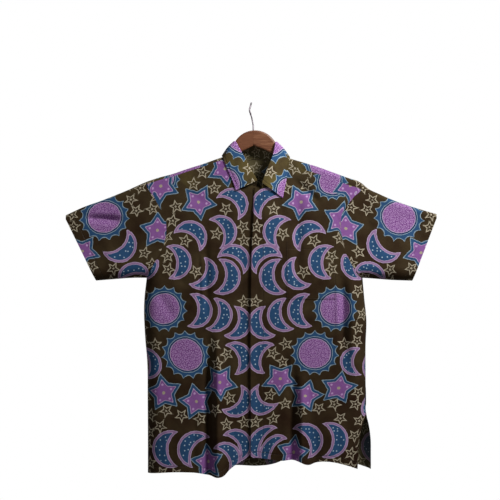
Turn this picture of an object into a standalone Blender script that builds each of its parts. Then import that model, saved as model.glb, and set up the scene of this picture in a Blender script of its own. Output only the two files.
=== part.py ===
"""Short-sleeved batik shirt, buttoned under a fly, hanging on a curved wooden coat hanger.

+X is the viewer's right, the front faces -Y and +Z is up. The origin is the inside of the hook's
top, where a rail carries it. Every size below is in millimetres.
"""

import bpy
import numpy as np
from math import cos, pi, radians, sin

CLOTH = 1.2            # wall of every cloth piece
SEAM = 0.25            # each piece stops this far short of its seam line
HANG_X = 8.7           # the shirt's middle line, from the hook's seat
RIDGE_R = 10.5         # bend of the cloth where it lies over the hanger's arm
SIDE_R = 34.0          # depth of the round at the body's sides and under the sleeves
FRONT_DEPTH = 38.0     # how far the front stands out once it hangs free
BACK_DEPTH = 33.0
FRONT_FALL = 320.0     # height over which it gets there
BACK_FALL = 270.0
NECK_FULL = 10.0       # the collar holds the cloth this much further out at the neck
NECK_SPREAD = {True: 64.0, False: 46.0}     # on the front, on the back
UNDERARM_Z = -446.0
LAP = 4.8              # the under front lies this far behind the upper one
SEAM_DROP = {"left": 7.0, "right": 18.0}    # shoulder seam below the ridge, on the front
BUTTON_R = 5.5
BUTTON_T = 2.0
WOOD_T = 12.0
WOOD_ROUND = 4.0
JOINT_X = -4.5         # joint of the hanger's two halves, and the hook's shank
WIRE_R = 1.75
HOOK_R = 20.0          # inside radius of the hook's bend

# Ridge of the sleeves and shoulders, from the left cuff to the right one: x, z
RIDGE = ((-490, -289), (-439, -265.5), (-393, -249), (-328, -223), (-273, -199), (-246, -190),
         (-212, -181), (-171, -167), (-131, -154.5), (-102, -144), (-78, -136), (-55, -130),
         (0, -127), (55, -131), (84, -139.5), (126, -152), (162, -163), (199, -176.5),
         (236, -190), (271, -203), (288, -217), (318, -232), (352, -247), (388, -260),
         (470, -285))
# Underside of each sleeve: x, z
UNDER = {"left": ((-412, -453.5), (-367, -450), (-309, -446), (-277, UNDERARM_Z)),
         "right": ((408, -453.5), (342, -451), (305, -448), (275, UNDERARM_Z))}
# Side of the body, front piece and back piece: z, x front, x back
SIDE = {"left": ((-446, -277, -277), (-502, -283, -283), (-604, -280.5, -280.5),
                 (-655, -276, -276), (-757, -274.5, -274.5), (-859, -274, -274),
                 (-990, -274, -274)),
        "right": ((-446, 275, 275), (-502, 280, 280), (-553, 285, 285), (-617, 283, 283),
                  (-706, 283, 283), (-780, 283, 283), (-796, 282, 285), (-821, 273, 291),
                  (-859, 265, 296),
                  (-898, 262.5, 296.5), (-990, 258, 296))}
# Armhole seam: z, x front, x back
ARMHOLE = {"left": ((-201, -277, -277), (-212, -276.5, -276.5), (-237, -260, -265),
                    (-265, -244, -256), (-291, -230, -251), (-319, -226, -249),
                    (-346, -228.5, -249), (-374, -238, -253), (-408, -256, -263),
                    (-446, -277, -277)),
           "right": ((-204, 271, 271), (-223, 270, 270), (-240, 252, 262), (-263, 235, 252),
                     (-282, 223, 248), (-306, 219, 245), (-331, 221, 245), (-362, 227, 248),
                     (-393, 237, 253), (-423, 253, 262), (-446, 275, 275))}
# Hems: x, z
FRONT_HEM = ((-277, -944), (-182, -940), (-140, -943), (-114, -949), (-94, -953), (-79, -949),
             (-64, -933), (-30, -911), (-10, -904), (30, -906), (71, -911), (89, -909),
             (108, -912), (139, -921), (152, -916), (185, -913), (223, -920), (262, -932))
BACK_HEM = ((-277, -944), (-180, -936), (-100, -931), (-48, -928), (13, -930), (38, -927),
            (59, -921), (79, -911), (99, -904), (150, -901), (223, -910), (260, -924),
            (298, -935))
# Folds: x and z at each end, height out of the panel, half width
FRONT_FOLDS = ((-92, -560, -94, -1080, 13, 21), (-121, -590, -119, -1080, -9, 15),
               (-128, -330, -118, -560, -4, 15), (112, -200, 106, -350, -5, 18),
               (104, -660, 104, -1080, -7, 14), (130, -690, 124, -1080, 9, 16),
               (222, -450, 236, -640, -6, 20), (262, -590, 250, -740, 4, 18),
               (94, -180, 172, -270, -4, 13), (-445, -290, -335, -294, -4, 12),
               (-180, -640, -200, -1080, 4, 30), (190, -760, 196, -1080, 5, 24),
               (330, -430, 420, -330, 4, 22))
BACK_FOLDS = ((-150, -300, -128, -1080, 8, 26), (-70, -420, -84, -1080, -6, 22),
              (20, -330, 10, -1080, 7, 28), (110, -460, 98, -1080, -7, 20),
              (165, -330, 182, -1080, 8, 26), (-215, -520, -228, -1080, -5, 20),
              (232, -560, 240, -1080, -4, 18), (-430, -300, -330, -310, -4, 14),
              (340, -300, 430, -330, -4, 14))


def curve(table, at, column=1):
    """Value of a table's column at a place of its first one, on a smooth curve through its rows."""
    rows = sorted((row[0], row[column]) for row in table)
    xs = np.array([row[0] for row in rows], float)
    ys = np.array([row[1] for row in rows], float)
    slope = np.gradient(ys, xs)
    at = np.clip(np.asarray(at, float), xs[0], xs[-1])
    i = np.clip(np.searchsorted(xs, at) - 1, 0, len(xs) - 2)
    h = xs[i + 1] - xs[i]
    t = (at - xs[i]) / h
    a, b = 2 * t**3 - 3 * t**2 + 1, t**3 - 2 * t**2 + t
    return a * ys[i] + b * h * slope[i] + (1 - a) * ys[i + 1] + (t**3 - t**2) * h * slope[i + 1]


def ease(t):
    t = np.clip(t, 0, 1)
    return t * t * (3 - 2 * t)


def rounded(t):
    """Quarter round: 0 at the edge, 1 where the flat begins."""
    return np.sqrt(1 - (1 - np.clip(t, 0, 1)) ** 2)


def ridge(x):
    return curve(RIDGE, x)


def edge_lines():
    """Both lines along which front and back meet: under the sleeve, then down the side."""
    lines = []
    for side in ("left", "right"):
        cuff, underarm = UNDER[side][0][0], UNDER[side][-1][0]
        points = [(x, curve(UNDER[side], x)) for x in np.linspace(cuff, underarm, 12)]
        heights = np.linspace(UNDERARM_Z, -985, 28)[1:]
        points += [(curve(SIDE[side], z, 2), z) for z in heights]
        lines.append(np.array(points, float))
    return lines


EDGES = edge_lines()


def edge_distance(x, z):
    x, z = np.broadcast_arrays(np.asarray(x, float), np.asarray(z, float))
    best = np.full(x.shape, 1e9)
    for line in EDGES:
        for (ax, az), (bx, bz) in zip(line[:-1], line[1:]):
            dx, dz = bx - ax, bz - az
            t = np.clip(((x - ax) * dx + (z - az) * dz) / (dx * dx + dz * dz), 0, 1)
            best = np.minimum(best, np.hypot(x - ax - t * dx, z - az - t * dz))
    return best


def folds(x, z, table):
    total = np.zeros(np.broadcast(x, z).shape)
    for x0, z0, x1, z1, height, width in table:
        dx, dz = x1 - x0, z1 - z0
        length = np.hypot(dx, dz)
        along = ((x - x0) * dx + (z - z0) * dz) / length**2
        off = ((x - x0) * dz - (z - z0) * dx) / length
        fade = ease(along / 0.3) * ease((1 - along) / 0.3)
        total = total + height * fade * np.exp(-((off / width) ** 2))
    return total


def depth(x, z, front):
    """How far the cloth stands out from the hanger's plane, at the front or at the back."""
    drop = np.maximum(ridge(x) - z, 0)
    full, fall, table = (FRONT_DEPTH, FRONT_FALL, FRONT_FOLDS)
    if not front:
        full, fall, table = (BACK_DEPTH, BACK_FALL, BACK_FOLDS)
    out = RIDGE_R * rounded(drop / RIDGE_R) + (full - RIDGE_R) * ease(drop / fall)
    out = out + folds(x, z, table) * ease(drop / 60)
    middle = 8.0 if front else 0.0
    neck = np.exp(-(((x - middle) / NECK_SPREAD[front]) ** 2))
    out = out + NECK_FULL * neck * ease((z + 500) / 280)
    return out * rounded(edge_distance(x, z) / SIDE_R)


def front_point(x, z, lap=0.0):
    return np.stack(np.broadcast_arrays(x, -depth(x, z, True) + lap, z), -1)


def over_point(x, w):
    """A point by its height w up the back, on over the ridge and down the front."""
    x, w = np.broadcast_arrays(np.asarray(x, float), np.asarray(w, float))
    top = ridge(x)
    low = top - RIDGE_R
    turn = np.clip((w - low) / RIDGE_R, 0, pi)
    z = np.where(w < low, w, low + RIDGE_R * np.sin(turn))
    past = w - (low + pi * RIDGE_R)
    z = np.where(past > 0, low - past, z)
    y = np.where(turn < pi / 2, depth(x, z, False), -depth(x, z, True))
    arc = (w > low) & (past < 0)
    y = np.where(arc, RIDGE_R * np.cos(turn) * rounded(edge_distance(x, z) / SIDE_R), y)
    return np.stack([x, y, z], -1)


def seam_height(x, side):
    """Height w of the shoulder seam, which lies on the front just below the ridge."""
    drop = SEAM_DROP[side]
    low = ridge(x) - RIDGE_R
    if drop < RIDGE_R:
        return low + RIDGE_R * (pi - np.arcsin(1 - drop / RIDGE_R))
    return low + pi * RIDGE_R + drop - RIDGE_R


def seam_gap(points):
    """How far a piece stops short of its seam line: more where four pieces meet under an arm."""
    gap = np.full(points.shape[:-1], SEAM)
    for side in ("left", "right"):
        x, z = UNDER[side][-1]
        off = np.hypot(points[..., 0] - x, points[..., 2] - z)
        gap = gap + 0.9 * ease(1 - off / 28)
    return gap[..., None]


def pulled(grid, sides):
    """The sheet's points with the named sides moved in from their seam lines."""
    grid = grid.copy()
    for side in sides:
        view = {"first_row": grid, "last_row": grid[::-1],
                "first_column": grid.transpose(1, 0, 2),
                "last_column": grid.transpose(1, 0, 2)[::-1]}[side]
        step = view[1] - view[0]
        length = np.linalg.norm(step, axis=-1, keepdims=True)
        view[0] = view[0] + step * np.minimum(seam_gap(view[0]) / np.maximum(length, 1e-6), 0.5)
    return grid


def normals_of(grid, closed):
    """Unit normals at a grid's points; closed means that its columns run right round."""
    wide = np.concatenate([grid, grid[:, :1]], 1) if closed else grid
    first = np.cross(wide[1:, :-1] - wide[:-1, :-1], wide[1:, 1:] - wide[:-1, :-1])
    second = np.cross(wide[1:, 1:] - wide[:-1, :-1], wide[:-1, 1:] - wide[:-1, :-1])
    normal = np.zeros_like(wide)
    for faces, corners in ((first, ((0, 0), (1, 0), (1, 1))), (second, ((0, 0), (1, 1), (0, 1)))):
        for i, j in corners:
            rows = slice(i, wide.shape[0] - 1 + i)
            columns = slice(j, wide.shape[1] - 1 + j)
            normal[rows, columns] += faces
    if closed:
        normal[:, 0] += normal[:, -1]
        normal = normal[:, :-1]
    return normal / np.maximum(np.linalg.norm(normal, axis=-1, keepdims=True), 1e-9)


def material(name, colour, roughness, metallic=0.0):
    made = bpy.data.materials.get(name) or bpy.data.materials.new(name)
    made.use_nodes = True
    shader = made.node_tree.nodes["Principled BSDF"]
    shader.inputs["Base Color"].default_value = (*colour, 1.0)
    shader.inputs["Roughness"].default_value = roughness
    shader.inputs["Metallic"].default_value = metallic
    made.diffuse_color = (*colour, 1.0)
    return made


BATIK = material("batik_cotton", (0.093, 0.065, 0.030), 0.85)
WOOD = material("brown_wood", (0.273, 0.130, 0.075), 0.5)
STEEL = material("plated_steel", (0.46, 0.41, 0.44), 0.3, 1.0)
BUTTON = material("button_resin", (0.05, 0.035, 0.02), 0.35)


def finished(name, points, faces, mat):
    """One named object from points in millimetres, smooth where its faces bend gently."""
    mesh = bpy.data.meshes.new(name)
    mesh.from_pydata([tuple(p) for p in np.asarray(points) * 0.001], [], faces)
    corners = np.asarray(points)
    volume = 0.0
    for face in faces:
        for k in range(1, len(face) - 1):
            volume += np.dot(corners[face[0]], np.cross(corners[face[k]], corners[face[k + 1]]))
    if volume < 0:
        mesh.flip_normals()
    mesh.shade_smooth()
    mesh.set_sharp_from_angle(angle=radians(40))
    mesh.materials.append(mat)
    obj = bpy.data.objects.new(name, mesh)
    bpy.context.scene.collection.objects.link(obj)
    return obj


def cloth(name, grid, closed=False, wall=CLOTH):
    """A sheet of cloth as a thin closed wall, half its thickness on each side of the grid."""
    rows, columns = grid.shape[:2]
    normal = normals_of(grid, closed) * wall / 2
    points = np.concatenate([(grid + normal).reshape(-1, 3), (grid - normal).reshape(-1, 3)])
    points[:, 0] += HANG_X
    inner = rows * columns

    def at(i, j, layer):
        return layer * inner + i * columns + j % columns

    faces = []
    for i in range(rows - 1):
        for j in range(columns if closed else columns - 1):
            a, b, c, d = (i, j), (i + 1, j), (i + 1, j + 1), (i, j + 1)
            for corner in ((a, b, c), (a, c, d)):
                faces.append([at(*place, 0) for place in corner])
                faces.append([at(*place, 1) for place in corner[::-1]])
    for j in range(columns if closed else columns - 1):
        faces.append([at(0, j, 0), at(0, j + 1, 0), at(0, j + 1, 1), at(0, j, 1)])
        last = rows - 1
        faces.append([at(last, j, 1), at(last, j + 1, 1), at(last, j + 1, 0), at(last, j, 0)])
    if not closed:
        end = columns - 1
        for i in range(rows - 1):
            faces.append([at(i + 1, 0, 0), at(i, 0, 0), at(i, 0, 1), at(i + 1, 0, 1)])
            faces.append([at(i, end, 0), at(i + 1, end, 0), at(i + 1, end, 1), at(i, end, 1)])
    return finished(name, points, faces, BATIK)


for old in list(bpy.data.objects):
    bpy.data.objects.remove(old, do_unlink=True)

# ---- where the pieces' grids have their lines -------------------------------------------------

ROUND_STEPS = (0.0, 3.2, 11.0, 21.0, 34.0)      # in from an edge, closer where the cloth turns
SHOULDER_STEPS = 7
SIDE_ROWS = 12
ARM_STEPS = (0.0, 2.6, 10.0, 21.0, 36.0, 60.0, 88.0, 116.0, 144.0, 170.0, 196.0)
OVER_STEPS = (0.0, 0.14, 0.28, 0.42, 0.56, 0.7, 0.85, 1.0)

# Neck seam, from the front middle to the shoulder seam: x, z
NECK = {"left": ((3, -213), (-19, -204), (-39, -189), (-55, -171), (-68, -154), (-76.5, None)),
        "right": ((17, -219), (35, -207), (51, -192), (65, -176), (73.5, -165), (79.5, None))}
# Neck seam on the back piece, from the shoulder seam to the middle: x, w below the ridge line
NECK_BACK = {"left": ((-75.3, 2.3), (-73.4, 1.6), (-71, 0.95), (-67.5, 0.3), (-60, -1.5),
                      (-45, -4.0), (-24, -10.0)),
             "right": ((78.2, 2.9), (76.3, 2.1), (73.8, 1.25), (70, 0.4), (61, -1.0),
                       (46, -3.5), (24, -9.0))}
NECK_MIDDLE = (0, -142.0)
TOP_EDGE = {"left": (22, -216), "right": (-3, -217)}        # top corner of each front
CLOSING = {"left": ((-980, 22), (-216, 22)), "right": ((-980, -12), (-420, -11), (-217, -3))}


def side_x(z, side, column):
    """Edge of a front (column 1) or of the back (column 2): the side seam, then the armhole."""
    z = np.asarray(z, float)
    low = curve(SIDE[side], z, column)
    high = curve(ARMHOLE[side], z, column)
    return np.where(z > UNDERARM_Z, high, low)


def shoulder_x(side):
    """The shoulder seam's grid points, from the armhole to the neck."""
    end = ARMHOLE[side][0][1]
    sign = 1 if side == "left" else -1
    near = [end + sign * step for step in ROUND_STEPS]
    neck = NECK[side][-1][0]
    far = [near[-1] + (neck - near[-1]) * k / SHOULDER_STEPS for k in range(1, SHOULDER_STEPS + 1)]
    return near + far


def seam_z(x, side):
    return float(over_point(x, seam_height(x, side))[..., 2])


def lap_of(x, side):
    return LAP * ease((np.asarray(x, float) + 62) / 34) if side == "left" else 0.0 * x


def front_tops(side):
    """Top edge of a front, from the armhole along the shoulder and the neck: x, z."""
    tops = [(x, seam_z(x, side)) for x in shoulder_x(side)]
    tops += [row for row in NECK[side][-2::-1]]
    return tops + [TOP_EDGE[side]]


def edge_rows(side, column, top):
    """Heights of the grid's rows along a piece's own edge, hem to top."""
    hem_x = SIDE[side][-2][column]
    hem = float(curve(FRONT_HEM if column == 1 else BACK_HEM, hem_x))
    low = [hem + (UNDERARM_Z - hem) * k / SIDE_ROWS for k in range(SIDE_ROWS)]
    high = [UNDERARM_Z + step for step in ARM_STEPS]
    return low + [z for z in high if z < top - 8] + [top]


def front_grid(side):
    tops = front_tops(side)
    rows = edge_rows(side, 1, tops[0][1])
    grid = np.zeros((len(tops), len(rows), 3))
    for i, (x_top, z_top) in enumerate(tops):
        edge = side_x(z_top, side, 1) if i else x_top
        middle = curve(CLOSING[side], z_top)
        share = (x_top - edge) / (middle - edge)
        hem = -920.0
        for _ in range(4):
            x = side_x(hem, side, 1) * (1 - share) + curve(CLOSING[side], hem) * share
            hem = float(curve(FRONT_HEM, x))
        for j, row in enumerate(rows):
            t = (row - rows[0]) / (rows[-1] - rows[0])
            z = hem + (z_top - hem) * t
            x = side_x(z, side, 1) * (1 - share) + curve(CLOSING[side], z) * share
            if i == 0:
                x, z = side_x(row, side, 1), row
            if j == len(rows) - 1:
                x, z = x_top, z_top
            grid[i, j] = front_point(x, z, lap_of(x, side))
    return grid, rows


# ---- the two fronts ---------------------------------------------------------------------------

front_right, rows_left = front_grid("left")
front_left, rows_right = front_grid("right")
SHARED = ["first_column", "last_column"]
cloth("front_right", pulled(front_right, ["first_row"] + SHARED[1:]))
cloth("front_left", pulled(front_left, ["first_row"] + SHARED[1:]))

# ---- the back, which wraps over both shoulders to the seams on the front ----------------------


def back_tops():
    """Top edge of the back, left armhole to right: x, height w."""
    tops = {}
    for side in ("left", "right"):
        line = [(x, float(seam_height(x, side))) for x in shoulder_x(side)]
        for x, turn in NECK_BACK[side]:
            low = float(ridge(x)) - RIDGE_R
            line.append((x, low + (RIDGE_R * turn if turn > 0 else turn)))
        tops[side] = line
    return tops["left"] + [NECK_MIDDLE] + tops["right"][::-1]


def back_rows(side):
    low = float(ridge(ARMHOLE[side][0][2])) - RIDGE_R
    return edge_rows(side, 2, low)


BACK_ROWS = {side: back_rows(side) for side in ("left", "right")}


def back_grid():
    tops = back_tops()
    count = len(BACK_ROWS["left"])
    grid = np.zeros((len(tops), count + len(OVER_STEPS) - 1, 3))
    x_left, x_right = tops[0][0], tops[-1][0]
    for i, (x_top, w_top) in enumerate(tops):
        share = (x_top - x_left) / (x_right - x_left)
        turn_x = x_top
        low = float(ridge(turn_x)) - RIDGE_R
        start = min(low, w_top - 14.0)
        hem = -925.0
        for _ in range(4):
            x = side_x(hem, "left", 2) * (1 - share) + side_x(hem, "right", 2) * share
            hem = float(curve(BACK_HEM, x))
        for j in range(count):
            t = [(rows[j] - rows[0]) / (rows[-1] - rows[0]) for rows in BACK_ROWS.values()]
            z = hem + (start - hem) * (t[0] * (1 - share) + t[1] * share)
            if i in (0, len(tops) - 1):
                z = list(BACK_ROWS.values())[0 if i == 0 else 1][j]
            x = side_x(z, "left", 2) * (1 - share) + side_x(z, "right", 2) * share
            if i in (0, len(tops) - 1):
                x = float(side_x(z, "left" if i == 0 else "right", 2))
            grid[i, j] = over_point(x, z)
        for k, step in enumerate(OVER_STEPS[1:]):
            grid[i, count + k] = over_point(x_top, start + (w_top - start) * step)
    return grid


back = back_grid()
cloth("back", pulled(back, ["first_row", "last_row", "last_column"]))

# ---- the sleeves, each a tube from the armhole to its hem -------------------------------------

SLEEVE_STEPS = (0.0, 0.08, 0.2, 0.34, 0.5, 0.67, 0.84, 1.0)
# Hem of each sleeve, under and on the ridge: x, z
CUFF = {"left": ((-406, -453), (-483.5, -286.5)), "right": ((402, -453), (464, -284.5))}


def sleeve_ring(side):
    """The armhole as zone and share: 0 the back, 1 over the ridge, 2 the front."""
    ring = []
    for z in BACK_ROWS[side][SIDE_ROWS:]:
        low = float(ridge(ARMHOLE[side][0][2])) - RIDGE_R
        ring.append((0, (z - UNDERARM_Z) / (low - UNDERARM_Z), float(side_x(z, side, 2))))
    end = ARMHOLE[side][0][1]
    low = float(ridge(end)) - RIDGE_R
    w_top = float(seam_height(end, side))
    for step in OVER_STEPS[1:]:
        w = low + (w_top - low) * step
        past = w - low - pi * RIDGE_R
        if past > 0:
            ring.append((2, 1 - past / (low - UNDERARM_Z), end))
        else:
            ring.append((1, (w - low) / (pi * RIDGE_R), end))
    rows = rows_left if side == "left" else rows_right
    for z in rows[SIDE_ROWS + 1:-1][::-1]:
        ring.append((2, (z - UNDERARM_Z) / (low - UNDERARM_Z), float(side_x(z, side, 1))))
    return ring


def sleeve_grid(side):
    ring = sleeve_ring(side)
    (under_x, under_z), (top_x, top_z) = CUFF[side]
    start_x = ARMHOLE[side][0][1]
    base_x = UNDER[side][-1][0]
    grid = np.zeros((len(SLEEVE_STEPS), len(ring), 3))
    for k, step in enumerate(SLEEVE_STEPS):
        x_top = start_x + (top_x - start_x) * step
        x_under = base_x + (under_x - base_x) * step
        z_under = float(curve(UNDER[side], x_under))
        for j, (zone, share, x_arm) in enumerate(ring):
            up = 1.0 if zone == 1 else share
            bow = x_arm - (base_x + (start_x - base_x) * up)
            x = x_under + (x_top - x_under) * up + bow * (1 - step) ** 1.5
            if zone == 1:
                low = float(ridge(x)) - RIDGE_R
                grid[k, j] = over_point(x, low + share * pi * RIDGE_R)
            else:
                low = float(ridge(x_top)) - RIDGE_R
                z = z_under + (low - z_under) * share
                grid[k, j] = over_point(x, z) if zone == 0 else front_point(x, z)
    return grid


cloth("sleeve_right", pulled(sleeve_grid("left"), ["first_row"]), closed=True)
cloth("sleeve_left", pulled(sleeve_grid("right"), ["first_row"]), closed=True)

# ---- the collar: a stand sewn to the neck, and a pointed leaf folded down over it -------------

# Fold of the collar, then the leaf's edge from its point, front middle to back: x, y, z.
# A y of None means that the leaf lies on the front.
FOLD = {"left": ((5, -26, -198), (-8, -25, -176), (-20, -23, -154), (-33, -20, -130),
                 (-44, -15, -110), (-50, -9.5, -99.5), (-52, -6, -98.6), (-53, -2, -98.4),
                 (-53.5, 2.5, -98.4), (-53, 8, -98.6), (-49.5, 14, -98.8), (-40, 20, -99),
                 (-22, 24.8, -99.6)),
        "right": ((18, -30, -204), (27, -28, -181), (36, -25, -158), (45, -21, -137),
                  (50, -16, -117), (52, -10, -102.5), (53.6, -6, -100.6), (54.8, -2, -99.8),
                  (55.3, 2.5, -99.6), (54.8, 8, -99.6), (51, 14, -99.5), (41, 20, -99.6),
                  (22, 24.8, -99.6))}
FOLD_MIDDLE = (0, 26.5, -100)
LEAF = {"left": ((-48, None, -222), (-54, None, -206), (-60, None, -191), (-68, None, -173),
                 (-75, None, -156), (-80.5, None, -142), (-83.3, -4.5, -135.6),
                 (-84.5, -0.5, -134.2), (-84.8, 4, -134.5), (-83, 11, -136.5), (-76, 20, -140),
                 (-60, 28, -143.5), (-32, 35, -147)),
        "right": ((71, None, -242), (75, None, -222), (79, None, -202), (83, None, -180),
                  (86.5, None, -161), (88, None, -146), (88.9, -4.5, -139.3),
                  (89.3, -0.5, -138), (89.3, 4, -138), (86.5, 11, -139.5), (79, 20, -142),
                  (62, 28, -144.5), (33, 35, -147))}
LEAF_MIDDLE = (0, 38, -148.5)
LEAF_LIFT = 3.0


def neck_points():
    """Neck seam round from the right front's end to the left front's: the pieces' own points."""
    points = {}
    for side in ("left", "right"):
        line = []
        for x, z in NECK[side]:
            z = seam_z(x, side) if z is None else z
            line.append(front_point(x, z, lap_of(x, side)))
        for x, turn in NECK_BACK[side]:
            low = float(ridge(x)) - RIDGE_R
            line.append(over_point(x, low + (RIDGE_R * turn if turn > 0 else turn)))
        points[side] = line
    middle = over_point(*NECK_MIDDLE)
    return np.array(points["left"] + [middle] + points["right"][::-1])


def ring_of(table, middle, lift):
    points = {}
    for side in ("left", "right"):
        line = []
        for x, y, z in table[side]:
            line.append((x, -float(depth(x, z, True)) - lift if y is None else y, z))
        points[side] = line
    return np.array(points["left"] + [middle] + points["right"][::-1], float)


def doubled(points, smooth):
    """Twice as many points along a ring, on a smooth curve or on its straight runs."""
    ends = np.concatenate([2 * points[:1] - points[1:2], points, 2 * points[-1:] - points[-2:-1]])
    a, b, c, d = ends[:-3], ends[1:-2], ends[2:-1], ends[3:]
    middle = (9 * (b + c) - a - d) / 16 if smooth else (b + c) / 2
    out = np.zeros((2 * len(points) - 1, 3))
    out[::2] = points
    out[1::2] = middle
    return out


neck = neck_points()
fold = ring_of(FOLD, FOLD_MIDDLE, 0)
leaf_edge = ring_of(LEAF, LEAF_MIDDLE, LEAF_LIFT)
low_ring, top_ring = doubled(neck, False), doubled(fold, True)
up = top_ring - low_ring
height = np.linalg.norm(up, axis=-1, keepdims=True)
up = up / height
stand = np.array([low_ring + up * 1.2, low_ring + up * height * 0.5,
                  low_ring + up * (height - 2.0)])
cloth("collar_stand", stand)

edge_ring = doubled(leaf_edge, True)
outward = np.cross(up, np.gradient(top_ring, axis=0))
outward = outward / np.linalg.norm(outward, axis=-1, keepdims=True)
# Share of the way from the fold to the leaf's edge, and how far it stands off the straight line
LEAF_STEPS = ((0.0, 1.7), (0.12, 2.6), (0.4, 3.4), (0.7, 2.2), (1.0, 0.0))
leaf = []
for step, off in LEAF_STEPS:
    leaf.append(top_ring + (edge_ring - top_ring) * step + outward * off)
cloth("collar_leaf", np.array(leaf))

# ---- the chest pocket, on the wearer's left ---------------------------------------------------

POCKET_X = (80.0, 205.0)
POCKET_Z = (-500.0, -353.0)
POCKET_LIFT = CLOTH + 0.6
across = np.linspace(*POCKET_X, 9)[:, None]
along = np.linspace(*POCKET_Z, 9)[None, :]
pocket = front_point(across, along)
pocket[..., 1] -= POCKET_LIFT
cloth("pocket", pocket)

# ---- buttons, hidden between the two fronts ---------------------------------------------------

BUTTON_X = 5.0
BUTTON_ROWS = (-262, -352, -442, -532, -622, -712)
for number, z in enumerate(BUTTON_ROWS, 1):
    middle = front_point(BUTTON_X, z)
    side_way = front_point(BUTTON_X + 5, z) - front_point(BUTTON_X - 5, z)
    up_way = front_point(BUTTON_X, z + 5) - front_point(BUTTON_X, z - 5)
    side_way = side_way / np.linalg.norm(side_way)
    inward = np.cross(up_way, side_way)
    inward = inward / np.linalg.norm(inward)
    inward = inward * np.sign(inward[1])
    up_way = np.cross(side_way, inward)
    middle = middle + inward * LAP / 2 * abs(inward[1]) + np.array([HANG_X, 0, 0])
    ring = [side_way * cos(2 * pi * k / 20) + up_way * sin(2 * pi * k / 20) for k in range(20)]
    points = [middle + s * inward * BUTTON_T / 2 + BUTTON_R * a for s in (-1, 1) for a in ring]
    faces = [list(range(20)), list(range(39, 19, -1))]
    faces += [[k, 20 + k, 20 + (k + 1) % 20, (k + 1) % 20] for k in range(20)]
    finished(f"button_{number}", points, faces, BUTTON)

# ---- the wooden hanger, two halves glued at the middle ----------------------------------------

HUMP_R = 59.0
HUMP_Z = -127.5
ARM_END = {"left": -224.0, "right": 222.0}
ARM_CLEAR = 1.6
# Upper edge beside the hump, then the underside: distance from the middle, z
FLARE = ((57, -117), (60.5, -127), (66, -137))
UNDERSIDE = ((196, -207), (150, -190), (105, -174), (80, -163), (62, -147), (46, -129),
             (23, -118))


def wood_outline(side):
    sign = -1 if side == "left" else 1
    joint = JOINT_X + sign * 0.15
    outline = []
    first = np.arcsin(joint / HUMP_R)
    last = sign * radians(72)
    for k in range(9):
        a = first + (last - first) * k / 8
        outline.append((HUMP_R * sin(a), HUMP_Z + HUMP_R * cos(a)))
    outline += [(sign * x, z) for x, z in FLARE]
    end = ARM_END[side]
    for x, extra in ((76, 2.2), (84, 1.0), (100, 0), (119, 0), (140, 0), (160, 0), (181, 0), (201, 0)):
        outline.append((sign * x, float(ridge(sign * x)) - ARM_CLEAR - extra))
    top = float(ridge(end - sign * 10)) - ARM_CLEAR
    outline += [(end - sign * 8, top - 1.0), (end - sign * 1.5, top - 7), (end, top - 14),
                (end - sign * 4, top - 22), (end - sign * 12, top - 26.5)]
    outline += [(sign * x, z) for x, z in UNDERSIDE]
    outline.append((joint, -107.0 if sign * joint < 0 else -107.0 - 0.49 * abs(joint)))
    return [(x + HANG_X, z) for x, z in outline]


shank_x = JOINT_X + HANG_X
bpy.ops.mesh.primitive_cylinder_add(vertices=16, radius=0.00205, depth=0.060,
                                    location=(shank_x * 0.001, 0, -0.068))
bore = bpy.context.object
bore.name = "shank_bore"
bore.hide_render = True
bore.display_type = "WIRE"

for side in ("left", "right"):
    outline = wood_outline(side)
    n = len(outline)
    points = [(x, s * WOOD_T / 2, z) for s in (-1, 1) for x, z in outline]
    faces = [list(range(n)), list(range(2 * n - 1, n - 1, -1))]
    faces += [[k, n + k, n + (k + 1) % n, (k + 1) % n] for k in range(n)]
    half = finished(f"hanger_{'right' if side == 'left' else 'left'}", points, faces, WOOD)
    weights = half.data.attributes.new("bevel_weight_edge", "FLOAT", "EDGE")
    for edge in half.data.edges:
        a, b = edge.vertices
        same_face = (a < n) == (b < n)
        at_joint = {a % n, b % n} == {0, n - 1}
        weights.data[edge.index].value = 1.0 if same_face and not at_joint else 0.0
    bevel = half.modifiers.new("rounded edges", "BEVEL")
    bevel.limit_method = "WEIGHT"
    bevel.width = WOOD_ROUND * 0.001
    bevel.segments = 2
    bevel.use_clamp_overlap = True
    cut = half.modifiers.new("bore for the shank", "BOOLEAN")
    cut.operation = "DIFFERENCE"
    cut.object = bore

# ---- the steel hook, turned edge-on to the shirt ----------------------------------------------

# Sideways lean of the wire at each height: z, x
LEAN = ((3.0, 0.0), (-8.0, -3.2), (-17.0, -5.3), (-26.0, -2.8), (-37.0, 1.0), (-53.0, 4.0),
        (-66.0, shank_x), (-100.0, shank_x))
SHANK_END = -92.0
wire_bend = HOOK_R + WIRE_R
path = [(0.0, SHANK_END), (0.0, -80.0), (0.0, -66.0), (0.6, -60.0), (3.4, -54.5)]
for k in range(17):
    a = radians(-42 + (42 + 205) * k / 16)
    path.append((wire_bend * cos(a) * (1 if k else 0.98), -HOOK_R + wire_bend * sin(a)))
spline_points = []
for y, z in path:
    spline_points.append((float(curve(LEAN, z)), y, z))
data = bpy.data.curves.new("hook", "CURVE")
data.dimensions = "3D"
data.bevel_depth = WIRE_R * 0.001
data.bevel_resolution = 2
data.use_fill_caps = True
spline = data.splines.new("POLY")
spline.points.add(len(spline_points) - 1)
for point, (x, y, z) in zip(spline.points, spline_points):
    point.co = (x * 0.001, y * 0.001, z * 0.001, 1.0)
data.materials.append(STEEL)
hook = bpy.data.objects.new("hook", data)
bpy.context.scene.collection.objects.link(hook)
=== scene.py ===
"""Short-sleeved batik cotton shirt on a brown wooden coat hanger: the looks, over the CAD frame.

The shirt hangs as its solids do. +X is the viewer's right and the front faces -Y. Sizes are in
millimetres: the hook's and the glue's from the hook's seat, and the cloth's from the shirt's
middle line, which hangs HANG_X from the seat.
"""

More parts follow.
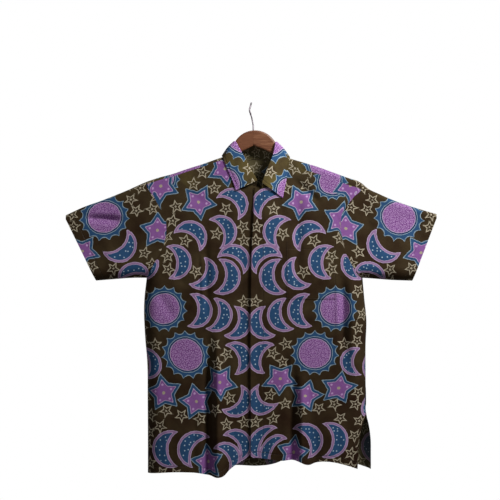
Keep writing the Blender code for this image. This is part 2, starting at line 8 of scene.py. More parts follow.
from math import cos, hypot, pi, radians, sin

import bpy
import numpy as np
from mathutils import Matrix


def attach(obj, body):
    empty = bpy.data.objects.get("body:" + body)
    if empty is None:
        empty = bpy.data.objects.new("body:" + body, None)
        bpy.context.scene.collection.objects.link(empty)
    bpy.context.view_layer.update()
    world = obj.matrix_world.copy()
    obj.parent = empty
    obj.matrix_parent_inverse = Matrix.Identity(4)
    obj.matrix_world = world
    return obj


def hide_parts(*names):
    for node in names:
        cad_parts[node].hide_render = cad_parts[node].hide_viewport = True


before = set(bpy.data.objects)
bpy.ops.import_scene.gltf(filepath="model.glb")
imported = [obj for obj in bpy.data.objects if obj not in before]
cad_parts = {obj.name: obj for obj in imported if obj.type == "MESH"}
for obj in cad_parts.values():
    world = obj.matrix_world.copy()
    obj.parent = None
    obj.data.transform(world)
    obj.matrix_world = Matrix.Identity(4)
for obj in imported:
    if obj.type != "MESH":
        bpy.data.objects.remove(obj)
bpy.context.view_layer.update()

# ---- Coat hanger ------------------------------------------------------------------------------
# Two shaped halves of a mid-brown hardwood, glued at the middle, sanded smooth and varnished.
# The grain runs out along each arm. The varnish is satin and leaves the pores just open.

WOOD_DARK, WOOD_MID, WOOD_PALE_PAINTED_LIGHT = "#5B3522", "#73472E", "#94674A"


def linear(hex_colour):
    """An sRGB hex colour as linear RGBA."""
    parts = [int(hex_colour[i:i + 2], 16) / 255 for i in (1, 3, 5)]
    return (*[c / 12.92 if c <= 0.04045 else ((c + 0.055) / 1.055) ** 2.4 for c in parts], 1.0)


def feed(tree, node, inputs):
    """Feeds a node's inputs, each with a value or with another node's output."""
    for name, value in inputs.items():
        if isinstance(value, bpy.types.NodeSocket):
            tree.links.new(value, node.inputs[name])
        else:
            node.inputs[name].default_value = value
    return node


def add(tree, kind, inputs=None, **settings):
    """One node with its settings and inputs."""
    node = tree.nodes.new(kind)
    for name, value in settings.items():
        setattr(node, name, value)
    return feed(tree, node, inputs or {})


def ranged(tree, value, low, high, start=0.0, end=1.0, **settings):
    """A value's range from low to high, mapped onto start to end."""
    return add(tree, "ShaderNodeMapRange", {"Value": value, "From Min": low, "From Max": high,
                                            "To Min": start, "To Max": end},
               **settings).outputs[0]


def scaled(tree, vector, by):
    """A colour or vector times a value or another vector."""
    return add(tree, "ShaderNodeVectorMath", {0: vector, 1: by}, operation="MULTIPLY").outputs[0]


def new_material(name):
    """An empty node material: its tree, and its Principled shader."""
    made = bpy.data.materials.new(name)
    made.use_nodes = True
    return made, made.node_tree, made.node_tree.nodes["Principled BSDF"]


def set_ramp(node, stops):
    """Fills a colour ramp from (position, hex colour) pairs."""
    ramp = node.color_ramp
    while len(ramp.elements) < len(stops):
        ramp.elements.new(0.5)
    for element, (position, colour) in zip(ramp.elements, stops):
        element.position = position
        element.color = linear(colour)


def varnished_wood(name, pale):
    """Wood whose rings run out along the arm, up to a top colour, with open pores; a paler top
    colour is painted light.
    """
    made, tree, shader = new_material(name)
    place = add(tree, "ShaderNodeTexCoord").outputs["Object"]
    # Growth rings drawn 2.5 mm apart across the arm and stretched 14 times along it.
    along = add(tree, "ShaderNodeMapping", {"Vector": place, "Scale": (28, 400, 400)})
    rings = add(tree, "ShaderNodeTexNoise", {"Vector": along.outputs[0], "Scale": 1.0,
                                             "Detail": 5.0, "Distortion": 0.6})
    fine = add(tree, "ShaderNodeMapping", {"Vector": place, "Scale": (90, 1900, 1900)})
    pores = add(tree, "ShaderNodeTexNoise", {"Vector": fine.outputs[0], "Scale": 1.0,
                                             "Detail": 2.0}).outputs["Fac"]
    colour = add(tree, "ShaderNodeValToRGB", {"Fac": rings.outputs["Fac"]})
    set_ramp(colour, ((0.2, WOOD_DARK), (0.5, WOOD_MID), (0.75, pale)))
    toned = scaled(tree, colour.outputs["Color"], ranged(tree, pores, 0.3, 0.45, 0.82, 1.0))
    relief = add(tree, "ShaderNodeBump", {"Height": pores, "Strength": 0.25, "Distance": 0.0002})
    feed(tree, shader, {"Base Color": toned, "Normal": relief.outputs[0], "Roughness": 0.5,
                        "Specular IOR Level": 0.3, "Coat Weight": 0.12, "Coat Roughness": 0.35})
    return made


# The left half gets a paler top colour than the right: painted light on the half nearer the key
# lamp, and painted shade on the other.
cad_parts["hanger_right"].data.materials[0] = varnished_wood("beech_satin_right_painted_shade", WOOD_MID)
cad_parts["hanger_left"].data.materials[0] = varnished_wood("beech_satin_left_painted_light", WOOD_PALE_PAINTED_LIGHT)

# ---- Glue line --------------------------------------------------------------------------------
# The film of brown wood glue, 0.3 mm thick, that fills the joint between the hanger's two halves.
# It passes round both sides of the hook's shank and closes the joint below it.

GLUE_X = (4.07, 4.33)
# Edge of the film, from the front top round under the shank to the back top: y, z
GLUE_EDGE = ((-2.3, -70.6), (-5.6, -73.2), (-5.6, -102.2), (-4.4, -105.0), (-2.0, -106.4),
             (2.0, -106.4), (4.4, -105.0), (5.6, -102.2), (5.6, -73.2), (2.3, -70.6),
             (2.3, -98.4), (-2.3, -98.4))


def placed(name, data):
    """An object made of some data and linked to the scene."""
    obj = bpy.data.objects.new(name, data)
    bpy.context.scene.collection.objects.link(obj)
    return obj


def mesh_object(name, points, faces, material, smooth=True):
    """A mesh from points in millimetres, linked to the scene."""
    mesh = bpy.data.meshes.new(name)
    mesh.from_pydata((np.asarray(points) * 0.001).tolist(), [], faces)
    if smooth:
        mesh.shade_smooth()
    mesh.materials.append(material)
    return placed(name, mesh)


def mottled(name, scale, stops, roughness, detail=2.0, distortion=0.0):
    """A material whose colour wanders over noise, with its tree, its shader and the noise."""
    made, tree, shader = new_material(name)
    place = add(tree, "ShaderNodeTexCoord").outputs["Object"]
    noise = add(tree, "ShaderNodeTexNoise", {"Vector": place, "Scale": scale, "Detail": detail,
                                             "Distortion": distortion}).outputs["Fac"]
    colour = add(tree, "ShaderNodeValToRGB", {"Fac": noise})
    set_ramp(colour, stops)
    feed(tree, shader, {"Base Color": colour.outputs["Color"], "Roughness": roughness})
    return made, tree, shader, noise


glue = mottled("brown_wood_glue", 400.0, ((0.3, "#3A2417"), (0.7, "#4E3222")), 0.5)[0]
n = len(GLUE_EDGE)
film = mesh_object("glue_line", [(x, y, z) for x in GLUE_X for y, z in GLUE_EDGE],
                   [list(range(n)), list(range(n, 2 * n))[::-1]]
                   + [(k, k + n, (k + 1) % n + n, (k + 1) % n) for k in range(n)],
                   glue, smooth=False)
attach(film, "root")

# ---- Hook -------------------------------------------------------------------------------------
# 3.5 mm steel wire, bent and bright nickel plated, screwed into the wood at the joint. The open
# end is cut square and its edge is rounded by the plating. It hangs edge-on to the shirt.

WIRE_R = 1.75
HOOK_R = 20.0
SHANK_X = 4.2
# Where the round bend begins and how far it goes, in degrees, and its steps
BEND_START, BEND_SWEEP, BEND_STEPS = -42, 247, 32
# Sides of the wire; length of its rounded end, and the end's radius as a share of the wire's
AROUND, END_LENGTH, END_SHARE = 20, 0.5, 0.72
# Lean of the wire: height, x
LEAN = ((3.0, 0.0), (-8.0, -3.2), (-17.0, -5.3), (-26.0, -2.8), (-37.0, 1.0), (-53.0, 4.0),
        (-66.0, SHANK_X), (-100.0, SHANK_X))


def curve(table, at, column=1):
    """Value of a table's column at a place of its first one, on a smooth curve through its rows."""
    rows = sorted((row[0], row[column]) for row in table)
    xs = np.array([row[0] for row in rows], float)
    ys = np.array([row[1] for row in rows], float)
    slope = np.gradient(ys, xs)
    at = np.clip(np.asarray(at, float), xs[0], xs[-1])
    i = np.clip(np.searchsorted(xs, at) - 1, 0, len(xs) - 2)
    h = xs[i + 1] - xs[i]
    t = (at - xs[i]) / h
    a, b = 2 * t**3 - 3 * t**2 + 1, t**3 - 2 * t**2 + t
    return a * ys[i] + b * h * slope[i] + (1 - a) * ys[i + 1] + (t**3 - t**2) * h * slope[i + 1]


def unit(vectors):
    """Vectors brought to a length of 1."""
    return vectors / np.linalg.norm(vectors, axis=-1, keepdims=True)


nickel, tree, shader, smudge = mottled(
    "nickel_plated_steel", 140.0, ((0.3, "#857B83"), (0.7, "#A59BA2")), 0.5, detail=3.0)
feed(tree, shader, {"Roughness": ranged(tree, smudge, 0.0, 1.0, 0.5, 0.6), "Metallic": 1.0})

bend = HOOK_R + WIRE_R
path = [(0.0, -92.0), (0.0, -84.0), (0.0, -76.0), (0.0, -68.0), (0.5, -61.0), (2.6, -56.0)]
for k in range(BEND_STEPS + 1):
    a = radians(BEND_START + BEND_SWEEP * k / BEND_STEPS)
    path.append((bend * cos(a), -HOOK_R + bend * sin(a)))
line = np.array([(float(curve(LEAN, z)), y, z) for y, z in path])
along = unit(np.gradient(line, axis=0))
side_way = unit(np.cross(along, (1.0, 0.0, 0.0)))
third = np.cross(along, side_way)
rings, widths = [], np.append(np.full(len(line), WIRE_R), WIRE_R * END_SHARE)
line = np.concatenate([line, line[-1:] + along[-1:] * END_LENGTH])
turn = np.arange(AROUND) * 2 * pi / AROUND
for k, radius in enumerate(widths):
    frame_at = min(k, len(along) - 1)
    rings.append(line[k] + radius * (np.cos(turn)[:, None] * side_way[frame_at]
                                     + np.sin(turn)[:, None] * third[frame_at]))
points = np.concatenate(rings)
faces = []
for k in range(len(rings) - 1):
    for j in range(AROUND):
        a, b = k * AROUND + j, k * AROUND + (j + 1) % AROUND
        faces.append((a, b, b + AROUND, a + AROUND))
faces.append(list(range(AROUND))[::-1])
faces.append(list(range(len(points) - AROUND, len(points))))
hook = mesh_object("hook_wire", points, faces, nickel)
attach(hook, "root")
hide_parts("hook")

# ---- Printed cloth ----------------------------------------------------------------------------
# Plain-woven cotton, waxed and dyed by hand: moons, stars and suns on dark olive, mirrored about
# the front edges. The wax lines stay pale and the dye goes through, so the inside is nearly as
# strong. Every piece of cloth carries its own cut coordinates, so the print follows the folds.

BROWN, OLIVE, PALE_OLIVE = "#28190F", "#3D3220", "#594E2B"
INDIGO, SKY_LINE, NAVY = "#2A496C", "#8498A4", "#1E3155"
LILAC, MAUVE, PURPLE = "#AE98B4", "#8A6B91", "#80538D"
MAGENTA, PINK_DOT = "#744680", "#B490BD"
CREAM, CHALK = "#A29883", "#A9BCCB"

# Moons of one half: out from the front edge, height, the way the round side faces in degrees up
# from facing the front edge, and size
MOONS = ((47, -258, 44, 0.98), (76, -328, 21, 0.98), (153, -342, 55, 1.0), (42, -402, 58, 0.97),
         (194, -405, 4, 1.03), (124, -434, -29, 0.98), (70, -443, -9, 1.06), (276, -408, 4, 1.0),
         (140, -529, -4, 1.02), (88, -540, -14, 1.0), (39, -560, -20, 0.98),
         (37, -650, 18, 0.97), (270, -664, 0, 0.92), (37, -758, -39, 0.98), (37, -872, 30, 0.97),
         (64, -903, 33, 0.93), (148, -882, 149, 1.08), (211, -881, 180, 1.1))
# Suns of one half: out, height, size
SUNS = ((219, -524, 0.96), (166, -641, 1.0), (229, -188, 0.84))
# Large stars of one half: out, height, turn of a point up from facing the front edge
STARS = ((132, -251, 62), (229, -738, 99), (146, -760, 103), (78, -711, 57), (114, -915, 98),
         (228, -210, 50), (64, -166, 63))
# Ground kept bare of little stars: out from and to, height from and to
BARE = (78, 235, -852, -806)
# Crescent: radius of its round side and of its hollow side, and how far apart their middles are
MOON_R, MOON_BITE_R, MOON_BITE = 43.6, 46.3, 40.7
# Sun: radius of its disc, of its edge's hollows and of its points, and how many points
SUN_DISC, SUN_VALLEY, SUN_POINT, SUN_POINTS = 39.5, 53.5, 64.0, 15
# Large star: radius of its points and hollows, and how far out the dot of each arm lies
STAR_R, STAR_IN, STAR_DOT = 50.0, 28.0, 21.0
# Little star: radius of its points and hollows
LITTLE_R, LITTLE_IN = 18.0, 8.0
# Distance given where no motif is near, and place given where there is no little star at all
FAR, NOWHERE = 60.0, 500.0
# Ground kept clear round a moon or star, and out from a sun's middle; gap between little stars
CLEAR, SUN_CLEAR, LITTLE_GAP = 16, 78, 33
# Tries at placing little stars, and the room given to open ground
TRIES, OPEN = 12000, 200.0
# Half the square within which each kind of motif is drawn
REACH = {"moon": 90, "sun": 110, "star": 90, "little": 34}


def onto_arm(x, y):
    """A place in a five-pointed star, turned onto its first arm: off its middle and along it."""
    angle = (np.arctan2(x, y) + pi / 5) % (2 * pi / 5) - pi / 5
    r = np.hypot(x, y)
    return r * np.sin(np.abs(angle)), r * np.cos(angle)


def star_distance(x, y, radius, inner):
    """Signed distance from a five-pointed star's outline, negative inside."""
    px, py = onto_arm(x, y)
    ex, ey = inner * sin(pi / 5), inner * cos(pi / 5) - radius
    t = np.clip((px * ex + (py - radius) * ey) / (ex * ex + ey * ey), 0, 1)
    gap = np.hypot(px - t * ex, py - radius - t * ey)
    return np.where(ex * (py - radius) - ey * px > 0, gap, -gap)


def moon_distance(x, y):
    """Signed distance from a crescent whose round side faces +x."""
    return np.maximum(np.hypot(x, y) - MOON_R, MOON_BITE_R - np.hypot(x + MOON_BITE, y))


def corona_distance(x, y):
    """Signed distance from a sun's scalloped edge: points outward, hollows between them."""
    place = np.arctan2(x, y) * SUN_POINTS / (2 * pi)
    near_point = np.abs((place % 1) * 2 - 1)
    hollow = (1 - np.sqrt(1 - (0.96 * near_point) ** 2)) / 0.72
    edge = SUN_VALLEY + (SUN_POINT - SUN_VALLEY) * hollow
    return (np.hypot(x, y) - edge) * 0.85


def turned(x, y, degrees):
    """A place seen from axes turned by some degrees."""
    a = radians(degrees)
    return x * cos(a) + y * sin(a), y * cos(a) - x * sin(a)


def print_layout(seed, low, high, moons=MOONS, suns=SUNS, stars=STARS, halves=(-1, 1)):
    """A piece's print: the rows of one half, mirrored for the other. The little stars go
    wherever the ground between low and high has room for one."""
    random = np.random.default_rng(seed)
    tries = random.uniform(low, high, (TRIES, 2))
    room = np.full(TRIES, OPEN)
    out, height = tries.T
    room[(out > BARE[0]) & (out < BARE[1]) & (height > BARE[2]) & (height < BARE[3])] = 0
    for x, y, turn, size in moons:
        dx, dy = turned(x - out, height - y, turn)
        room = np.minimum(room, moon_distance(dx / size, dy / size) * size - CLEAR)
    for x, y, size in suns:
        room = np.minimum(room, np.hypot(out - x, height - y) - SUN_CLEAR * size)
    for x, y, turn in stars:
        dx, dy = turned(x - out, height - y, turn - 90)
        room = np.minimum(room, star_distance(dx, dy, STAR_R, STAR_IN) - CLEAR)
    little = []
    for index in np.argsort(room):
        x, y = tries[index]
        if room[index] > 0 and all(np.hypot(x - a, y - b) > LITTLE_GAP for a, b, _ in little):
            little.append((x, y, random.uniform(0, 72)))
    layout = {"moon": [], "sun": [], "star": [], "little": []}
    for half in halves:
        def way(turn):
            return turn if half < 0 else 180 - turn
        layout["moon"] += [(half * x, y, way(turn), size) for x, y, turn, size in moons]
        layout["sun"] += [(half * x, y, size) for x, y, size in suns]
        layout["star"] += [(half * x, y, way(turn)) for x, y, turn in stars]
        layout["little"] += [(half * x, y, way(turn)) for x, y, turn in little]
    return layout


def print_fields(u, v, layout):
    """Signed distance in millimetres from each kind of motif, at every point of a piece."""
    fields = {name: np.full(u.shape, FAR) for name in
              ("moon", "corona", "disc", "star", "star_dot", "little")}

    def draw(x, y, kind, shapes):
        near = (np.abs(u - x) < REACH[kind]) & (np.abs(v - y) < REACH[kind])
        for name, shape in shapes(u[near] - x, v[near] - y).items():
            fields[name][near] = np.minimum(fields[name][near], shape)

    def big_star(dx, dy):
        off, along_arm = onto_arm(dx, dy)
        dot = np.hypot(off, along_arm - STAR_DOT)
        return {"star": star_distance(dx, dy, STAR_R, STAR_IN), "star_dot": dot}

    for x, y, turn, size in layout["moon"]:
        draw(x, y, "moon", lambda dx, dy: {
            "moon": size * moon_distance(*turned(dx / size, dy / size, turn))})
    for x, y, size in layout["sun"]:
        draw(x, y, "sun", lambda dx, dy: {
            "corona": corona_distance(dx / size, dy / size) * size,
            "disc": np.hypot(dx, dy) - SUN_DISC * size})
    for x, y, turn in layout["star"]:
        draw(x, y, "star", lambda dx, dy: big_star(*turned(dx, dy, turn - 90)))
    for x, y, turn in layout["little"]:
        draw(x, y, "little", lambda dx, dy: {"little": star_distance(
            *turned(dx, dy, turn - 90), LITTLE_R, LITTLE_IN)})
    return fields


def little_places(u, v, layout):
    """Place in the nearest little star's own axes, so the shader can draw its thin lines."""
    place = np.full(u.shape + (2,), NOWHERE)
    for x, y, turn in layout["little"]:
        own = np.stack(turned(u - x, v - y, turn - 90), -1)
        near = np.linalg.norm(own, axis=-1) < np.linalg.norm(place, axis=-1)
        place[near] = own[near]
    return place


def calc(tree, operation, *values):
    """The result of a maths node on values or other nodes' outputs."""
    return add(tree, "ShaderNodeMath", dict(enumerate(values)), operation=operation).outputs[0]


def carried(tree, name, output="Fac"):
    """What the cloth carries under a name at each of its points."""
    return add(tree, "ShaderNodeAttribute", attribute_name=name).outputs[output]


def mixed(tree, share, under, over):
    """Colour over laid on colour under, by its share."""
    return add(tree, "ShaderNodeMix", {"Factor": share, 6: under, 7: over},
               data_type="RGBA").outputs[2]


def little_star_depth(tree):
    """Distance from a little star's nearest edge, after turning every arm onto the first."""
    place = carried(tree, "little_place", "Vector")
    split = add(tree, "ShaderNodeSeparateXYZ", {0: place})
    far = add(tree, "ShaderNodeVectorMath", {0: place}, operation="LENGTH").outputs["Value"]
    way = calc(tree, "ARCTAN2", split.outputs["X"], split.outputs["Y"])
    arm = calc(tree, "WRAP", way, pi / 5, -pi / 5)
    off = calc(tree, "SINE", calc(tree, "ABSOLUTE", arm))
    up = calc(tree, "COSINE", arm)
    ex, ey = LITTLE_IN * sin(pi / 5), LITTLE_IN * cos(pi / 5) - LITTLE_R
    edge = hypot(ex, ey)
    lean = calc(tree, "MULTIPLY_ADD", up, ex / edge, calc(tree, "MULTIPLY", off, -ey / edge))
    return calc(tree, "MULTIPLY_ADD", far, lean, -ex * LITTLE_R / edge)


batik, tree, shader = new_material("batik_cotton_print")
cut = carried(tree, "cut", "Vector")
# Dye ground: brown, going olive in clouds some 60 mm across and from the hem to the shoulders.
# The lift to olive and paler towards the shoulders and collar is partly the dye's own tone and
# partly painted light from above. The darkening towards the hem is painted shade.
clouds = add(tree, "ShaderNodeTexNoise", {"Vector": cut, "Scale": 16.0, "Detail": 4.0})
height = add(tree, "ShaderNodeSeparateXYZ", {0: cut}).outputs["Y"]
high = ranged(tree, height, -0.3, -0.1, 0.0, 0.34)
painted_hem_shade = ranged(tree, height, -0.65, -0.92, 0.0, -0.13)
both = calc(tree, "ADD", calc(tree, "ADD", clouds.outputs["Fac"], high), painted_hem_shade)
ground = add(tree, "ShaderNodeValToRGB", {"Fac": both})
set_ramp(ground, ((0.24, BROWN), (0.72, OLIVE), (1.0, PALE_OLIVE)))
# The wax pen wanders by under a millimetre.
wander = add(tree, "ShaderNodeTexNoise", {"Vector": cut, "Scale": 110.0, "Detail": 1.0})
shift = ranged(tree, wander.outputs["Fac"], 0.0, 1.0, -1.4, 1.4)
# Bands of each motif: its field, depth inside its outline in millimetres and colour
BANDS = (("little", ((-0.3, CREAM), (2.1, None), (5.2, CREAM))),
         ("corona", ((0.0, SKY_LINE), (1.8, INDIGO))),
         ("disc", ((-6.4, SKY_LINE), (-4.8, NAVY), (-1.2, LILAC), (0.6, MAGENTA))),
         ("star", ((0.0, SKY_LINE), (1.6, INDIGO), (7.4, LILAC), (8.8, PURPLE), (24.2, CREAM))),
         ("moon", ((0.0, LILAC), (1.5, MAUVE), (5.4, LILAC), (6.6, INDIGO))))
# Dots dabbed on with wax: their field, spacing and radius in millimetres, colour and depth
DOTS = {"disc": (3.6, 1.1, PINK_DOT, 1.0), "moon": (12.0, 1.6, CHALK, 8.0)}
# Depth over which a little star's line ends and its middle dot begins, and the margin outside
# its outline within which it is drawn
LITTLE_LINE, LITTLE_DOT, LITTLE_MARGIN = (1.7, 2.3), (4.7, 5.3), 2.6
# Each band melts into the next over half a millimetre, and the last one is 4 mm deep in the ramp.
MELT, LAST_BAND = 0.25, 4
colour = ground.outputs["Color"]
for name, bands in BANDS:
    near = carried(tree, name)
    edge = little_star_depth(tree) if name == "little" else near
    deep = calc(tree, "SUBTRACT", shift, edge)
    first = bands[0][0]
    last = bands[-1][0] + LAST_BAND
    ramp = add(tree, "ShaderNodeValToRGB", {"Fac": ranged(tree, deep, first, last)})
    stops = []
    for k, (start, shade) in enumerate(bands):
        place = (start - first) / (last - first)
        if k:
            stops.append((place - MELT / (last - first), stops[-1][1]))
        stops.append((place + (MELT / (last - first) if k else 0), shade or BROWN))
    set_ramp(ramp, stops)
    inner = ramp.outputs["Color"]
    if name in DOTS:
        gap, radius, dot_colour, start = DOTS[name]
        cells = add(tree, "ShaderNodeTexVoronoi", {"Vector": cut, "Scale": 1000 / gap,
                                                   "Randomness": 0.6}, voronoi_dimensions="2D")
        dot = ranged(tree, cells.outputs["Distance"], (radius + 0.4) / gap, (radius - 0.4) / gap)
        dot = calc(tree, "MULTIPLY", dot, ranged(tree, deep, start, start + 0.8))
        inner = mixed(tree, dot, inner, linear(dot_colour))
    if name == "star":
        spot = ranged(tree, carried(tree, "star_dot"), 3.6, 2.6)
        inner = mixed(tree, spot, inner, linear(PINK_DOT))
    mask = ranged(tree, deep, first - 0.3, first + 0.3)
    if name == "little":
        # Only the line and the middle dot of a little star are waxed.
        waxed = calc(tree, "MAXIMUM", ranged(tree, deep, *LITTLE_LINE, 1.0, 0.0),
                     ranged(tree, deep, *LITTLE_DOT))
        mask = calc(tree, "MULTIPLY", mask, waxed)
        mask = calc(tree, "MULTIPLY", mask, calc(tree, "LESS_THAN", near, LITTLE_MARGIN))
    colour = mixed(tree, mask, colour, inner)
# Lines of cracked wax let a little dark dye through.
cracks = add(tree, "ShaderNodeTexVoronoi", {"Vector": cut, "Scale": 45.0},
             feature="DISTANCE_TO_EDGE", voronoi_dimensions="2D")
crackle = ranged(tree, cracks.outputs["Distance"], 0.0, 0.03, 0.86, 1.0)
# Doubled cloth is painted a third brighter: painted light on the collar leaf, which faces up to the
# light from above. The inside is a shade greyer.
painted_light_gain = ranged(tree, carried(tree, "doubled"), 0.0, 1.0, 1.0, 1.34)
strong = scaled(tree, scaled(tree, colour, crackle), painted_light_gain)
# The inside goes greyer and lighter: partly the dye fading there, and partly painted light for the
# shaded inside seen in the neck opening.
inside_fade_and_painted_light = calc(tree, "MULTIPLY", carried(tree, "inside"), 0.32)
toned = mixed(tree, inside_fade_and_painted_light, strong, linear("#767050"))
# Plain weave, drawn at 1.1 mm although the real threads are about 0.35 mm apart.
split = add(tree, "ShaderNodeSeparateXYZ", {0: scaled(tree, cut, (2 * pi / 0.0011,) * 3)})
weave = calc(tree, "MULTIPLY", calc(tree, "SINE", split.outputs["X"]),
             calc(tree, "SINE", split.outputs["Y"]))
crumple = add(tree, "ShaderNodeTexNoise", {"Vector": cut, "Scale": 34.0, "Detail": 3.0,
                                           "Distortion": 0.4}).outputs["Fac"]
# A groove 2.6 mm to each side of a sewn line
groove = ranged(tree, calc(tree, "ABSOLUTE", carried(tree, "stitch")), 0.0, 2.6,
                interpolation_type="SMOOTHSTEP")
relief = add(tree, "ShaderNodeBump", {"Height": crumple, "Strength": 0.5, "Distance": 0.004})
for height, strength, distance in ((groove, 0.8, 0.0006), (weave, 0.25, 0.0001)):
    relief = add(tree, "ShaderNodeBump", {"Height": height, "Strength": strength,
                                          "Distance": distance, "Normal": relief.outputs[0]})
feed(tree, shader, {"Base Color": toned, "Normal": relief.outputs[0], "Roughness": 0.78,
                    "Sheen Weight": 0.02, "Sheen Roughness": 0.4, "Specular IOR Level": 0.05})

# ---- Shirt's outline and hang -----------------------------------------------------------------
# How the cut pieces meet and hang: the shoulders lie over the hanger's arms and everything below
# falls from them. Tables are in millimetres from the shirt's middle line.

# The shirt's middle line, from the hook's seat
HANG_X = 8.7
# Rounding over the ridge and at the sides, and how far in from an edge front and back lie together
RIDGE_R, SIDE_R, SEAM_W = 10.5, 34.0, 0.6
# How far front and back stand out low down, and over what drop they get there
FRONT_DEPTH, BACK_DEPTH, FRONT_FALL, BACK_FALL = 38.0, 33.0, 320.0, 270.0
# Fullness below the neck, and its spread at the front and at the back
NECK_FULL, NECK_SPREAD = 10.0, {True: 64.0, False: 46.0}
UNDERARM_Z = -446.0
# How far down the front from the ridge each shoulder seam lies
SEAM_DROP = {"left": 7.0, "right": 18.0}
# Ridge of the sleeves and shoulders: x, z
RIDGE = ((-490, -289), (-439, -265.5), (-393, -249), (-328, -223), (-273, -199), (-246, -190),
         (-212, -181), (-171, -167), (-131, -154.5), (-102, -144), (-78, -136), (-55, -130),
         (0, -127), (55, -131), (84, -139.5), (126, -152), (162, -163), (199, -176.5),
         (236, -190), (271, -203), (288, -217), (318, -232), (352, -247), (388, -260),
         (470, -285))
# Underside of each sleeve: x, z
UNDER = {"left": ((-412, -453.5), (-367, -450), (-309, -446), (-277, UNDERARM_Z)),
         "right": ((408, -453.5), (342, -451), (305, -448), (275, UNDERARM_Z))}
# Side of the body: z, x front, x back
SIDE = {"left": ((-446, -277, -277), (-502, -283, -283), (-604, -280.5, -280.5),
                 (-655, -276, -276), (-757, -274.5, -274.5), (-859, -274, -274),
                 (-990, -274, -274)),
        "right": ((-446, 275, 275), (-502, 280, 280), (-553, 285, 285), (-617, 283, 283),
                  (-706, 283, 283), (-780, 283, 283), (-796, 282, 285), (-821, 273, 291),
                  (-859, 265, 296), (-898, 262.5, 296.5), (-990, 258, 296))}
# Armhole seam: z, x front, x back
ARMHOLE = {"left": ((-201, -277, -277), (-212, -276.5, -276.5), (-237, -260, -265),
                    (-265, -244, -256), (-291, -230, -251), (-319, -226, -249),
                    (-346, -228.5, -249), (-374, -238, -253), (-408, -256, -263),
                    (-446, -277, -277)),
           "right": ((-204, 271, 271), (-223, 270, 270), (-240, 252, 262), (-263, 235, 252),
                     (-282, 223, 248), (-306, 219, 245), (-331, 221, 245), (-362, 227, 248),
                     (-393, 237, 253), (-423, 253, 262), (-446, 275, 275))}
# Folds and creases: x and z at each end, height out of the panel, half width
FRONT_FOLDS = ((-94, -540, -95, -1080, 18, 14), (-117, -560, -116, -1080, -17, 12),
               (-126, -330, -120, -560, -6, 10), (112, -215, 106, -480, -7, 13),
               (98, -630, 98, -1080, -15, 11), (121, -660, 119, -1080, 15, 13),
               (224, -430, 224, -650, -10, 10), (248, -430, 250, -700, 8, 12),
               (94, -190, 172, -262, -7, 10), (-445, -292, -335, -298, -13, 9),
               (-180, -640, -200, -1080, 4, 30), (190, -760, 196, -1080, 5, 24),
               (330, -430, 420, -330, 4, 22))
BACK_FOLDS = ((-150, -300, -128, -1080, 8, 26), (-70, -420, -84, -1080, -6, 22),
              (20, -330, 10, -1080, 7, 28), (110, -460, 98, -1080, -7, 20),
              (165, -330, 182, -1080, 8, 26), (-215, -520, -228, -1080, -5, 20),
              (232, -560, 240, -1080, -4, 18), (-430, -300, -330, -310, -4, 14),
              (340, -300, 430, -330, -4, 14))
# Finer creases of the front: the same columns
FRONT_CREASES = ((-143, -372, -140, -530, -4, 5), (211, -450, 212, -610, 4, 7),
                 (80, -630, 84, -745, -5, 7), (264, -610, 262, -680, 2.0, 7),
                 (-40, -230, -58, -330, 1.6, 9), (60, -250, 84, -330, -1.8, 10),
                 (-190, -215, -120, -262, -2.0, 12), (-215, -420, -170, -470, -1.8, 9),
                 (-262, -460, -200, -560, -2.4, 12), (252, -430, 190, -520, -2.2, 11),
                 (-60, -700, -50, -900, -2.2, 9), (40, -760, 46, -920, 2.4, 10),
                 (160, -820, 150, -960, -2.6, 9), (222, -800, 232, -950, 3.0, 10),
                 (-150, -780, -158, -960, -2.6, 8), (-222, -760, -230, -960, 2.6, 11),
                 (-30, -560, -34, -720, 1.4, 9), (-392, -330, -350, -440, 2.2, 14),
                 (-300, -300, -330, -430, -2.4, 13), (300, -290, 330, -420, 2.2, 12),
                 (380, -290, 430, -300, -1.8, 10), (268, -250, 300, -330, -2.4, 12))
BACK_CREASES = ((-120, -200, -150, -330, -2.4, 10), (130, -200, 160, -340, -2.2, 11),
                (-40, -160, -52, -330, 2.0, 12), (48, -170, 66, -360, 1.8, 10),
                (-190, -640, -200, -900, -2.6, 9), (60, -660, 52, -930, 2.6, 9),
                (205, -620, 212, -900, 2.4, 10), (-20, -620, -30, -900, -2.4, 9),
                (140, -700, 136, -930, -2.6, 9), (-250, -470, -180, -560, -2.4, 12),
                (250, -470, 176, -570, -2.6, 12), (-390, -330, -350, -440, 2.4, 13),
                (320, -300, 345, -430, -2.4, 13), (-300, -290, -325, -420, 2.2, 12))


def ease(t):
    """Smooth step from 0 to 1."""
    t = np.clip(t, 0, 1)
    return t * t * (3 - 2 * t)


def rounded(t):
    """Quarter round: 0 at the edge, 1 where the flat begins."""
    return np.sqrt(1 - (1 - np.clip(t, 0, 1)) ** 2)


def ridge(x):
    """Height of the sleeves' and shoulders' ridge."""
    return curve(RIDGE, x)


def edge_lines():
    """Both lines along which front and back meet: under the sleeve, then down the side."""
    lines = []
    for side in ("left", "right"):
        cuff, underarm = UNDER[side][0][0], UNDER[side][-1][0]
        points = [(x, curve(UNDER[side], x)) for x in np.linspace(cuff, underarm, 12)]
        heights = np.linspace(UNDERARM_Z, -985, 28)[1:]
        points += [(curve(SIDE[side], z, 2), z) for z in heights]
        lines.append(np.array(points, float))
    return lines


EDGES = edge_lines()


def edge_distance(x, z):
    """Distance, in the hanger's plane, from the lines where front and back meet."""
    x, z = np.broadcast_arrays(np.asarray(x, float), np.asarray(z, float))
    best = np.full(x.shape, 1e9)
    for edge in EDGES:
        for (ax, az), (bx, bz) in zip(edge[:-1], edge[1:]):
            dx, dz = bx - ax, bz - az
            t = np.clip(((x - ax) * dx + (z - az) * dz) / (dx * dx + dz * dz), 0, 1)
            best = np.minimum(best, np.hypot(x - ax - t * dx, z - az - t * dz))
    return best


